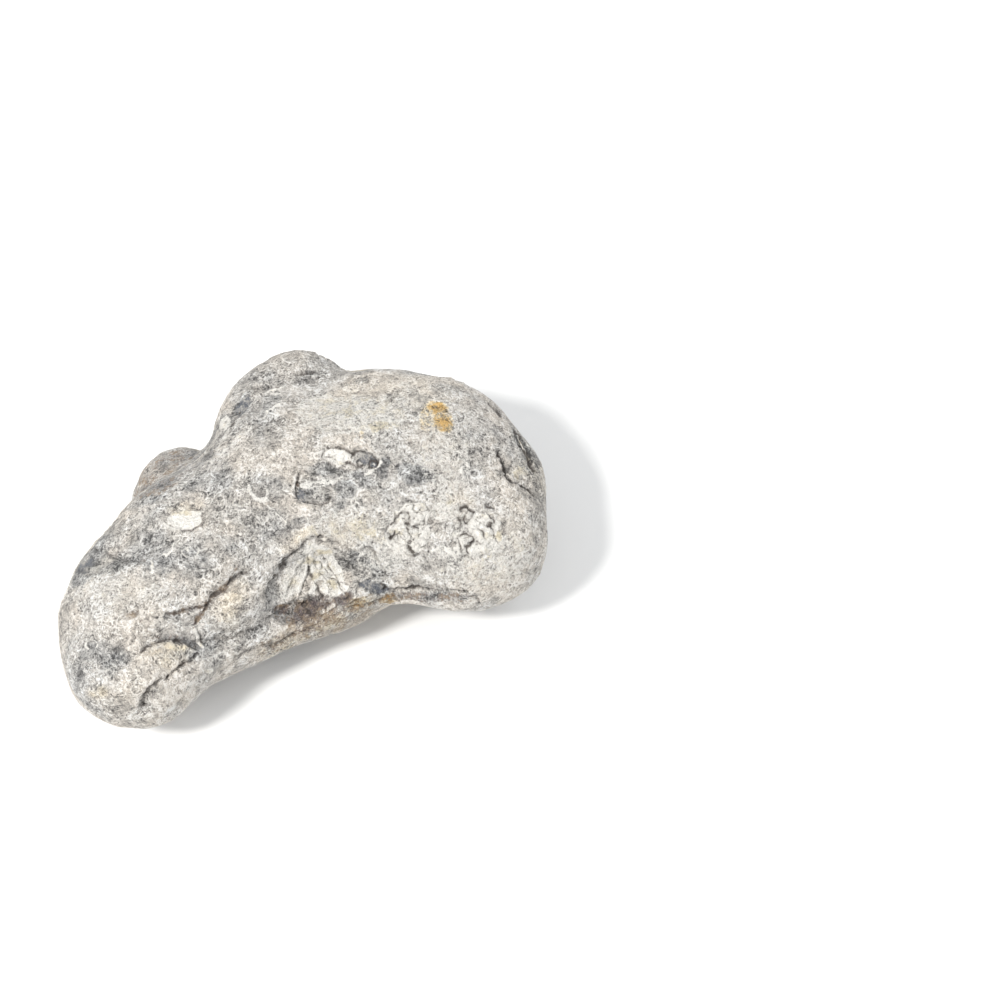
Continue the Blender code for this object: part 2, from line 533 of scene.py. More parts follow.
@dataclass(frozen=True)
class OvalMark(Mark):
    """A mark laid out as an oval.

    Attributes:
        middle: Its middle.
        reach: Half its length and half its width.
        turn: Which way it is turned, in degrees counter-clockwise.
    """

    middle: Point2
    reach: Point2
    turn: float

    # How far it can touch, as a share of its longest reach and on top of that.
    SPREAD = 1.6
    MARGIN = 1.0

    def extent(self) -> tuple[Array, Array]:
        """The corners of the part of the plane that it can touch."""
        reach = self.SPREAD * max(self.reach) + self.MARGIN
        return np.array(self.middle) - reach, np.array(self.middle) + reach


@dataclass(frozen=True)
class Patch(OvalMark):
    """An oval patch with a ragged edge.

    Attributes:
        grey: How much bare grey flint shows; on the shadowed and edge patches it is painted shade.
        warm: How much the cortex is tinted by ochre.
        chalk: How much white chalk covers it; on the top_light patch it is painted light.
        rust: How much rust stains it.
        soil: How much dark soil fills it; on the shadowed patches it is painted shadow.
        rough: How broken its skin is.
        lift: How far it stands up, or lies sunk where it is below zero.
    """

    grey: float = 0.0
    warm: float = 0.0
    chalk: float = 0.0
    rust: float = 0.0
    soil: float = 0.0
    rough: float = 0.0
    lift: float = 0.0

    # Where an effect starts and where it is full, as shares of the way from the middle.
    CRISP = (1.12, 0.88)
    SOFT = (1.35, 0.35)
    RAISED = (1.1, 0.7)
    BROKEN = (1.2, 0.7)
    REFINED = 1.1
    # How far the slow and the fine noise move its edge.
    WAVER = 0.14
    FRAY = 0.45
    # Patches at least this rough, this white, or this small and high need finer skin.
    FINE_ROUGH = 0.35
    FINE_CHALK = 1.0
    FINEST_REACH = 1.5
    FINEST_LIFT = 0.3

    def mark(self, surface: Surface, flat: Array, facing: Array, uneven: Unevenness) -> None:
        """Lays it on the skin."""
        angle = math.radians(self.turn)
        away = flat - np.array(self.middle)
        along = away[:, 0] * math.cos(angle) + away[:, 1] * math.sin(angle)
        across = away[:, 1] * math.cos(angle) - away[:, 0] * math.sin(angle)
        share = np.hypot(along / self.reach[0], across / self.reach[1])
        share = share + self.WAVER * uneven.waver + self.FRAY * uneven.fray / (min(self.reach) + 1.0)
        crisp = facing * smoothstep(*self.CRISP, share)
        soft = facing * smoothstep(*self.SOFT, share)
        surface.lift += self.lift * facing * smoothstep(*self.RAISED, share)
        surface.rough = np.maximum(surface.rough, self.rough * facing * smoothstep(*self.BROKEN, share))
        near = (facing > VISIBLE) & (share < self.REFINED)
        sharp = (min(self.reach) < self.FINEST_REACH) & (abs(self.lift) > self.FINEST_LIFT)
        surface.refine(near & (self.rough > self.FINE_ROUGH), Level.FINE)
        surface.refine(near & (self.chalk > self.FINE_CHALK), Level.FINE)
        surface.refine(near & sharp, Level.FINEST)
        tints = (
            (Mask.GREY, self.grey, 0.5 * crisp + 0.5 * soft),
            (Mask.WARM, self.warm, soft),
            (Mask.CHALK, self.chalk, crisp),
            (Mask.RUST, self.rust, 0.5 * crisp + 0.5 * soft),
            (Mask.SOIL, self.soil, 0.6 * crisp + 0.4 * soft),
        )
        for mask, amount, spread in tints:
            if amount:
                surface.paint(mask, amount * spread)


@dataclass(frozen=True)
class Ring(OvalMark):
    """A ring or crescent left by a knock: a raised pale rim with a sunk grey middle.

    Its turn says which way the middle of its arc lies.

    Attributes:
        arc: How much of it there is, 1 for all of it.
        chalk: How white its rim is.
    """

    arc: float = 1.0
    chalk: float = 0.0

    # How far the fine noise moves its rim, and how softly its arc ends.
    FRAY = 0.2
    ARC_END = 0.08
    # Half the rim's width, and how much wider it is for each millimetre of size.
    RIM = 0.34
    RIM_GROWTH = 0.04
    RIM_LIFT = 0.20
    RIM_CHALK = 0.8
    # How deep its middle lies, and how much deeper for each millimetre of size.
    SUNK = 0.05
    SUNK_GROWTH = 0.03
    SUNK_GREY = 0.45
    # The ditch inside the rim, darkened by painted shade: its half width, how many of those it lies in, and
    # how dark it is painted.
    DITCH = 0.5
    DITCH_INSET = 1.4
    DITCH_SHADE = 0.4
    # The finer skin round the rim: where it lies, half its width, and how white the finest are.
    REFINED = 0.95
    FINE_MARGIN = 0.9
    FINEST_MARGIN = 0.6
    FINEST_CHALK = 0.7

    def mark(self, surface: Surface, flat: Array, facing: Array, uneven: Unevenness) -> None:
        """Lays it on the skin."""
        away = flat - np.array(self.middle)
        size = min(self.reach)
        share = np.hypot(away[:, 0] / self.reach[0], away[:, 1] / self.reach[1])
        share = share + self.FRAY * uneven.fray / size
        bearing = np.arctan2(away[:, 1], away[:, 0]) - math.radians(self.turn)
        off = np.abs((bearing + math.pi) % (2 * math.pi) - math.pi) / math.pi
        present = 1.0
        if self.arc < 1.0:
            present = smoothstep(self.arc + self.ARC_END, self.arc - self.ARC_END, off)
        gap = (share - 1.0) * size / (self.RIM + self.RIM_GROWTH * size)
        rim = facing * present * np.exp(-(gap**2))
        rim = rim * uneven.varied(0.7, 1.4, 0.1, 1.3)
        inside = facing * smoothstep(1.0, 0.7, share)
        near = facing > VISIBLE
        beside = np.abs(share - self.REFINED) * size
        surface.refine(near & (beside < self.FINE_MARGIN), Level.FINE)
        surface.refine(near & (beside < self.FINEST_MARGIN) & (self.chalk > self.FINEST_CHALK), Level.FINEST)
        surface.lift += self.RIM_LIFT * rim - (self.SUNK + self.SUNK_GROWTH * size) * inside
        surface.paint(Mask.CHALK, self.RIM_CHALK * self.chalk * rim)
        surface.paint(Mask.GREY, self.SUNK_GREY * inside)
        # Painted shade darkens the ditch inside the rim.
        ditch = np.exp(-(((share - 1.0) * size / self.DITCH + self.DITCH_INSET) ** 2))
        ditch = ditch * uneven.varied(0.5, 1.5, 0.0, 1.0)
        surface.paint(Mask.CREVICE, self.DITCH_SHADE * facing * present * ditch)


# A cut gives its line, half width and depth, a patch or ring its middle, reach and turn.
# These are on the front and the top, laid out as they are seen from the front viewpoint.
FRONT_CUTS = (
    Cut("furrow_right", ((-37.3, -37.3), (-33.2, -37.3), (-29.5, -35.8), (-25.1, -35), (-19.3, -33.2),
        (-13.4, -30.3), (-9.4, -27.3)), 0.8, 0.7, shade=0.35, step=0.5),
    Cut("lip", ((30.3, -17.8), (33.9, -17.4), (40.6, -17.4), (46.1, -17.8), (51.2, -18.5), (56.3, -18.5),
        (60.7, -19.6), (65.5, -22.6)), 0.5, 0.9, shade=1.0, step=0.7),
    Cut("edge_split", ((71.7, 31), (72.8, 28.4), (74, 24), (75.4, 22.2), (76.9, 21.1)),
        0.72, 1.5, shade=1.3, step=-0.7),
    Cut("edge_split_tail", ((76.9, 21.1), (79.8, 20), (82, 18.9), (85, 16)),
        0.5, 0.9, shade=0.9, step=-0.5),
    Cut("edge_foil", ((76.2, 43.9), (78, 39.5), (79.8, 35), (82, 30.6), (85, 25.5)),
        0.5, 0.8, shade=1.0, step=-0.4),
    Cut("edge_foil_outer", ((78, 42.4), (80.2, 37.6), (82.4, 32.8), (84.6, 28.1)), 0.45, 0.6, shade=0.9),
    Cut("oval_under", ((-50.5, 6.4), (-46.8, 3.9), (-41.3, 3.5), (-36.5, 6.1)), 0.35, 0.4, shade=0.6),
    Cut("foot_side", ((-81.7, -11.2), (-78.7, -12.3), (-75.4, -10.8)), 0.8, 0.4, shade=0.4),
    Cut("lower_seam", ((-24.4, -43.1), (-19.3, -40.6), (-14.9, -39.1), (-8.3, -36.9), (-2.4, -34.3)),
        0.5, 0.4, shade=0.35, step=0.3),
    Cut("basin_rim", ((-2, 22.6), (-2.8, 19.6), (-2, 16.7), (-0.6, 14.5), (2.4, 12.7), (5.7, 12.3),
        (8.6, 13.4), (10.1, 15.6)), 0.38, 0.6, shade=0.85, step=-0.6),
    Cut("basin_rim_light", ((-3.5, 22.9), (-3.1, 19.3), (-2, 16.3), (-0.2, 13.8), (2.8, 11.9), (6.4, 11.2)),
        0.38, -0.3, chalk=0.6),
    Cut("basin_top", ((9.4, 23.3), (6.8, 24.8), (3.5, 24.4), (0.9, 25.1), (-1.7, 24)), 0.6, 0.4, shade=0.4),
    Cut("white_bar", ((0.2, 20.7), (4.2, 21.3), (7.9, 21.5), (11.9, 21.1)), 0.7, -0.5, chalk=2.2),
    Cut("white_bar_low", ((2, 19.3), (4.6, 19.6), (7.5, 20)), 0.3, -0.3, chalk=1.2),
    Cut("oval_rim", ((6.8, 29.9), (8.3, 32.5), (10.5, 33.6), (13.4, 33.9), (16.3, 33.2), (18.5, 31.7)),
        0.35, 0.5, shade=0.75, step=0.3),
    Cut("oval_low", ((9.4, 27.7), (13, 27), (16.3, 27.7)), 0.35, 0.4, shade=0.5),
    Cut("oval_vein", ((7.9, 30.3), (10.5, 29.5), (13, 29.2)), 0.25, 0.3, shade=0.5),
    Cut("grey_oval_rim", ((18.5, 32.1), (20.7, 32.8), (23.7, 32.1), (26.2, 30.6), (27.7, 28.4)),
        0.35, 0.5, shade=0.8, step=0.3),
    Cut("grey_oval_low", ((16.3, 28.8), (18.9, 28.1), (21.8, 27.3)), 0.35, 0.4, shade=0.7),
    Cut("light_streak", ((23.7, 23.7), (26.2, 25.9), (28.8, 28.8)), 0.6, -0.4, chalk=1.2),
    Cut("arch_left", ((6.4, 2), (3.1, 1.3), (0.6, -2), (-2.8, -3.5), (-5.3, -6.4), (-7.2, -10.5),
        (-9.7, -13.4), (-12.7, -17.1)), 0.85, 1.3, shade=0.7, step=-0.8),
    Cut("arch_top", ((6.1, 0.2), (10.1, -0.6), (14.1, -1.7), (17.8, -3.5)), 0.4, 0.4, shade=0.5, step=0.3),
    Cut("arch_right", ((22.6, -3.5), (24.8, -3.1), (27.3, -6.1), (29.5, -10.1), (30.6, -12.7)),
        0.4, 0.5, shade=0.6, step=0.6),
    Cut("pocket_vein", ((6.8, -8.3), (8.6, -10.8), (11.2, -13.4)), 0.35, 0.5, shade=0.6),
    Cut("pocket_vein_low", ((7.2, -12.7), (10.1, -13.8), (13.8, -12.3)), 0.35, 0.5, shade=0.5),
    Cut("pocket_fold", ((-0.9, -19.3), (1.3, -14.1), (3.1, -9.7)), 0.4, 0.5, shade=0.4),
    Cut("pocket_fold_left", ((-4.6, -18.5), (-2.8, -13.8), (-0.2, -9.7)), 0.4, 0.5, shade=0.4),
    Cut("crust_crack", ((57.4, 11.2), (59.3, 11.6), (61.1, 10.8), (62.9, 10.5)), 0.38, 0.7, shade=1.2),
    Cut("crust_crack_low", ((62.6, 10.1), (62.2, 8.3), (60.7, 6.8), (59.3, 5.7)), 0.3, 0.5, shade=0.5),
    Cut("crust_hook", ((59.3, 3.1), (61.5, 2), (62.9, 0.2), (61.8, -1.3), (60.4, -2.4), (60.4, -4.2),
        (61.8, -5)), 0.4, 0.7, shade=1.1),
    Cut("crust_corner", ((67, 12.7), (68.8, 11.9), (70.3, 11.6)), 0.35, 0.5, shade=0.9),
    Cut("crust_crack_left", ((32.8, -0.2), (34.7, 1.3), (35.8, 3.1)), 0.4, 0.6, shade=0.9),
    Cut("crust_lump_edge", ((35.8, 3.1), (36.5, 0.6), (38.4, -1.3), (39.8, -0.6), (40.6, 2.4)),
        0.3, 0.4, shade=0.7),
    Cut("crust_lump_low", ((33.2, -2.4), (35.4, -3.5), (38, -2.8), (39.5, -1.3)), 0.35, 0.5, shade=0.6),
    Cut("crust_knot", ((39.1, -2.4), (40.2, -4.2)), 0.6, 0.9, shade=1.0),
    Cut("crust_left_edge", ((31.4, 3.9), (33.9, 7.2), (36.9, 10.1)), 0.4, 0.5, shade=0.6),
    Cut("crust_top_edge", ((36.5, 12.7), (39.8, 13.4), (43.5, 14.9)), 0.35, 0.4, shade=0.6),
    Cut("crust_side", ((44.6, 0.9), (46.1, -2), (46.4, -5)), 0.35, 0.4, shade=0.5),
    Cut("pale_curve", ((47.5, -4.6), (49.4, -3.5), (51.6, -2.4), (53.4, -3.5), (54.9, -5.3)),
        0.4, -0.25, chalk=0.8),
    Cut("hatch", ((19.6, 15.6), (21.1, 13.4), (22.9, 10.8)), 0.5, -0.35, chalk=1.3),
    Cut("hatch_left", ((17.8, 14.9), (19.3, 12.7), (20.4, 10.8)), 0.4, -0.3, chalk=1.1),
    Cut("arm_split", ((-20.7, -11.9), (-23.7, -13.8), (-26.6, -17.1), (-29.5, -19.3), (-32.8, -21.5),
        (-34.3, -24.8), (-36.5, -27.7), (-39.8, -31.4)), 0.7, 0.9, shade=0.6, step=0.6),
    Cut("arm_split_dark", ((-22.9, -14.1), (-26.2, -16), (-29.5, -18.2), (-33.2, -20.7)),
        1.3, 0.5, shade=0.45),
    Cut("arm_split_left", ((-34.7, -24.8), (-39.1, -25.1), (-42.8, -26.2), (-46.1, -26.6), (-49.4, -27.7)),
        0.5, 0.8, shade=0.8, step=0.35),
    Cut("grain_line", ((-49.4, -28.8), (-43.1, -29.5), (-39.1, -29.2)), 0.35, 0.35, shade=0.4),
    Cut("grain_line_low", ((-56, -32.5), (-49.4, -32.8), (-42.8, -34.7)), 0.35, 0.35, shade=0.4),
    Cut("grain_line_mid", ((-64, -26.6), (-58.9, -28.1), (-53, -28.4)), 0.4, 0.4, shade=0.35),
    Cut("hood", ((-60, -44.2), (-58.5, -40.6), (-55.2, -38), (-51.2, -36.9), (-47.2, -36.9), (-43.5, -38.7),
        (-39.5, -40.9)), 0.5, 0.8, shade=0.75, step=-0.9),
    Cut("hood_shade", ((-53, -35.4), (-47.9, -34.7), (-42.8, -36.1), (-38, -38)), 1.0, 0.45, shade=0.12),
    Cut("furrow_deep", ((-46.4, -37.3), (-42.4, -38.7), (-38.4, -39.8)), 0.9, 0.7, shade=0.35),
    Cut("crease", ((-39.1, -42.4), (-43.5, -45.7), (-49.4, -49.7), (-54.9, -53.4), (-57.1, -56.7),
        (-58.2, -61.1)), 0.8, 0.9, shade=0.5, step=-0.3),
    Cut("crease_top", ((-38.7, -42.4), (-42.4, -45.7), (-46.1, -47.9), (-50.1, -50.8)),
        0.55, 0.6, shade=0.65),
    Cut("crease_shade", ((-55.2, -54.1), (-57.1, -57.8), (-58.2, -61.5)), 1.3, 0.4, shade=0.25),
    Cut("knob_crease", ((-21.8, 55.2), (-17.1, 55.2), (-11.2, 56.3), (-6.1, 57.4), (-0.9, 58.2),
        (5.3, 59.6)), 0.6, 0.6, shade=0.35),
    Cut("knob_streak", ((-1.7, 60.4), (0.9, 61.1), (4.6, 61.8)), 0.5, 0.5, shade=0.6),
    Cut("knob_hook", ((4.6, 61.8), (6.1, 60.7), (5, 58.5), (2, 57.4)), 0.4, 0.4, shade=0.5),
    Cut("root_gap", ((-26.2, 42.4), (-24, 45), (-22.6, 46.8)), 0.5, 0.6, shade=0.8),
    Cut("knob_line", ((-14.9, 53), (-11.2, 54.5), (-5, 56.7)), 0.4, -0.3, chalk=0.9),
    Cut("knob_line_low", ((-14.1, 45.3), (-11.2, 47.5), (-7.9, 49)), 0.4, -0.3, chalk=0.9),
    Cut("flank_line", ((-29.5, 32.1), (-24.4, 36.5), (-18.5, 40.9)), 0.35, -0.2, chalk=0.6),
    Cut("flank_line_low", ((-35.8, 27), (-29.5, 30.6), (-22.9, 34.3)), 0.35, -0.2, chalk=0.5),
    Cut("facet_edge", ((-14.9, 40.2), (-12.7, 43.5), (-9.4, 44.6), (-6.8, 43.1)), 0.35, 0.4, shade=0.5),
    Cut("stroke_left", ((-54.9, -14.1), (-55.2, -17.8), (-54.9, -21.8)), 0.3, -0.2, chalk=0.6),
    Cut("short_mark", ((-55.2, -7.9), (-55.2, -10.1), (-55.6, -12.3)), 0.42, -0.25, chalk=1.2),
    Cut("comma", ((-47.9, -2), (-47.5, -3.9), (-49, -5.7), (-50.8, -6.4)), 0.45, -0.3, chalk=1.0),
    Cut("white_scratch", ((-40.2, -32.1), (-38.7, -34.7), (-37.6, -36.9), (-36.5, -39.8)),
        0.3, -0.4, chalk=2.4),
    Cut("scratch_side", ((-38.7, -32.8), (-37.3, -35.4), (-36.1, -38), (-35.4, -39.8)),
        0.3, 0.3, shade=0.5),
    Cut("white_scratch_top", ((-40.9, -32.1), (-39.5, -31.4), (-38, -30.6)), 0.28, -0.2, chalk=1.2),
    Cut("left_band", ((-77.3, -2.8), (-72.8, -5.7), (-67.7, -6.8), (-62.6, -7.9), (-57.4, -7.5)),
        0.6, 0.4, shade=0.4),
    Cut("crescent_ring", ((-19.6, 19.3), (-19.3, 17.4), (-17.4, 15.2), (-15.2, 14.5), (-13.4, 14.9)),
        0.42, -0.45, chalk=1.5),
    Cut("crescent_limb", ((-13.4, 14.9), (-12.7, 16.7), (-12.7, 18.5)), 0.3, -0.3, chalk=0.7),
    Cut("crescent_inner", ((-17.8, 20.4), (-16.7, 21.8), (-14.1, 21.8), (-13, 20.4)), 0.4, 0.4, shade=0.5),
    Cut("fold_ridge", ((3.9, -6.1), (0.9, -11.9), (-1.3, -18.5)), 0.8, -0.6, chalk=1.0),
    Cut("fold_ridge_left", ((-0.9, -7.5), (-4.2, -13), (-6.8, -20)), 0.7, -0.5, chalk=0.7),
    Cut("fold_ridge_right", ((7.2, -7.5), (5, -13.8), (3.1, -19.3)), 0.8, -0.6, chalk=1.2),
    Cut("rim_line", ((-11.2, -39.1), (-0.9, -34.3), (10.1, -29.2), (20.4, -24.8), (29.9, -21.5)),
        0.4, 0.5, shade=0.55),
    Cut("rim_line_top", ((-0.9, -32.1), (5.7, -28.4), (13.8, -25.1), (21.8, -22.2)), 0.35, 0.4, shade=0.5),
    Cut("rim_line_pale", ((-6.8, -39.8), (2.8, -34.7), (13, -29.9), (21.8, -26.2)), 0.45, -0.3, chalk=0.7),
    Cut("crust_crease_far_left", ((35, 9), (38, 9.7), (39.8, 8.3), (38.7, 6.1)), 0.35, 0.5, shade=0.55),
    Cut("crust_crease_left", ((43.5, 10.1), (45.7, 8.3), (44.6, 6.1), (42, 5.7)), 0.35, 0.5, shade=0.55),
    Cut("crust_crease_left_high", ((43.1, 13.4), (43.9, 11.2), (42.4, 10.1)), 0.35, 0.5, shade=0.6),
    Cut("crust_crease_left_low", ((32.1, 2.4), (33.6, -0.6), (36.5, -2)), 0.35, 0.5, shade=0.6),
    Cut("crust_crease_middle", ((40.6, 4.6), (42.8, 3.1), (43.5, 0.6), (42, -2)), 0.35, 0.5, shade=0.55),
    Cut("crust_crease_middle_low", ((37.3, -4.2), (39.5, -6.1), (42.4, -5.3)), 0.35, 0.5, shade=0.55),
    Cut("crust_crease_right_near", ((56.7, 8.3), (58.2, 5.7), (57.4, 3.5)), 0.35, 0.5, shade=0.6),
    Cut("crust_crease_right_high", ((63.7, 8.3), (66.2, 9), (68.1, 7.5)), 0.35, 0.5, shade=0.55),
    Cut("crust_crease_far_right", ((68.4, 5.7), (70.6, 3.9), (71.4, 1.3), (69.9, -0.6)),
        0.35, 0.5, shade=0.6),
    Cut("crust_crease_right", ((64.4, 4.2), (66.6, 2.8), (66.2, 0.6)), 0.35, 0.5, shade=0.6),
    Cut("crust_crease_right_low", ((60, -5.7), (62.9, -6.8), (66.6, -5.7)), 0.35, 0.5, shade=0.45),
    Cut("facet_left", ((38.4, 5), (39.1, 3.1), (40.2, 1.3)), 0.3, 0.45, shade=0.7),
    Cut("facet_low", ((40.2, 1.3), (42.4, -0.6), (45, -2.8)), 0.3, 0.4, shade=0.6),
    Cut("facet_side", ((35.8, 3.1), (35, 1.3), (35.4, -0.6)), 0.3, 0.45, shade=0.7),
    Cut("facet_top", ((37.3, 7.5), (38.4, 6.1), (39.1, 4.2)), 0.3, 0.4, shade=0.6),
    Cut("crust_nick", ((43.1, 11.2), (44.6, 10.1), (46.1, 11.2)), 0.35, 0.5, shade=0.9),
    Cut("crust_sweep", ((47.5, 12.7), (48.3, 9.7), (46.8, 6.8), (43.9, 4.2)), 0.3, 0.3, shade=0.45),
    Cut("right_arc", ((67.7, 10.1), (69.9, 8.6), (71, 6.4)), 0.3, 0.4, shade=0.7),
    Cut("right_facet", ((66.2, 6.4), (68.4, 4.6), (71, 5)), 0.3, 0.4, shade=0.6),
    Cut("right_notch", ((57.1, 0.2), (58.2, -2), (58.5, -4.6)), 0.35, 0.4, shade=0.8),
    Cut("right_vee", ((57.4, 8.6), (58.5, 6.4), (59.6, 8.6)), 0.28, 0.3, shade=0.5),
    Cut("edge_foil_light", ((77.3, 42.8), (79.1, 38.7), (81.1, 33.9), (83.3, 29.2)),
        0.35, -0.25, chalk=1.0),
    Cut("edge_foil_top", ((69.2, 50.1), (71, 47.9), (72.5, 45.3)), 0.4, 0.45, shade=0.9),
    Cut("edge_shelf", ((77.6, 24), (80.6, 22.6), (83.5, 21.8)), 0.35, 0.4, shade=0.6),
    Cut("fan_crease_left", ((2.4, -6.4), (2.8, -11.2), (4.6, -16), (6.8, -20.4)), 0.35, 0.5, shade=0.75),
    Cut("fan_crease_right", ((7.5, -6.1), (10.8, -10.5), (13.8, -15.6), (15.6, -19.6)),
        0.35, 0.5, shade=0.7),
    Cut("fan_crease_middle", ((5, -7.9), (7.2, -13), (10.1, -18.2)), 0.3, 0.45, shade=0.65),
    Cut("fan_cross", ((5.7, -11.6), (8.6, -14.1), (12.7, -14.9)), 0.3, 0.4, shade=0.6),
    Cut("pale_line", ((-14.9, 14.1), (-9.7, 9.7), (-5.3, 6.4)), 0.3, -0.1, chalk=0.6),
    Cut("lip_line", ((32.1, -18.2), (36.5, -17.4), (41.3, -17.4), (46.8, -18.5)), 0.3, 0.35, shade=0.5),
    Cut("rust_crease", ((48.3, 48.3), (50.8, 48.6), (53.4, 46.8)), 0.35, 0.3, shade=0.55),
    Cut("rust_crease_low", ((52.7, 43.9), (54.9, 42.4), (53.8, 40.2)), 0.35, 0.3, shade=0.5),
    Cut("ring_hole_edge", ((25.7, 29.7), (27, 29.2), (27.3, 27.9), (26.8, 26.6), (25.5, 26.2), (24.4, 26.8),
        (24, 28.1), (24.6, 29.4), (25.7, 29.7)), 0.42, 0.7, shade=1.15),
    Cut("wedge_line", ((28.8, -16), (31, -17.8), (32.5, -18.5)), 0.35, 0.4, shade=0.8),
    Cut("split_low", ((-34.3, -24.4), (-36.5, -27.3), (-39.1, -30.3)), 0.4, 0.5, shade=0.7),
)
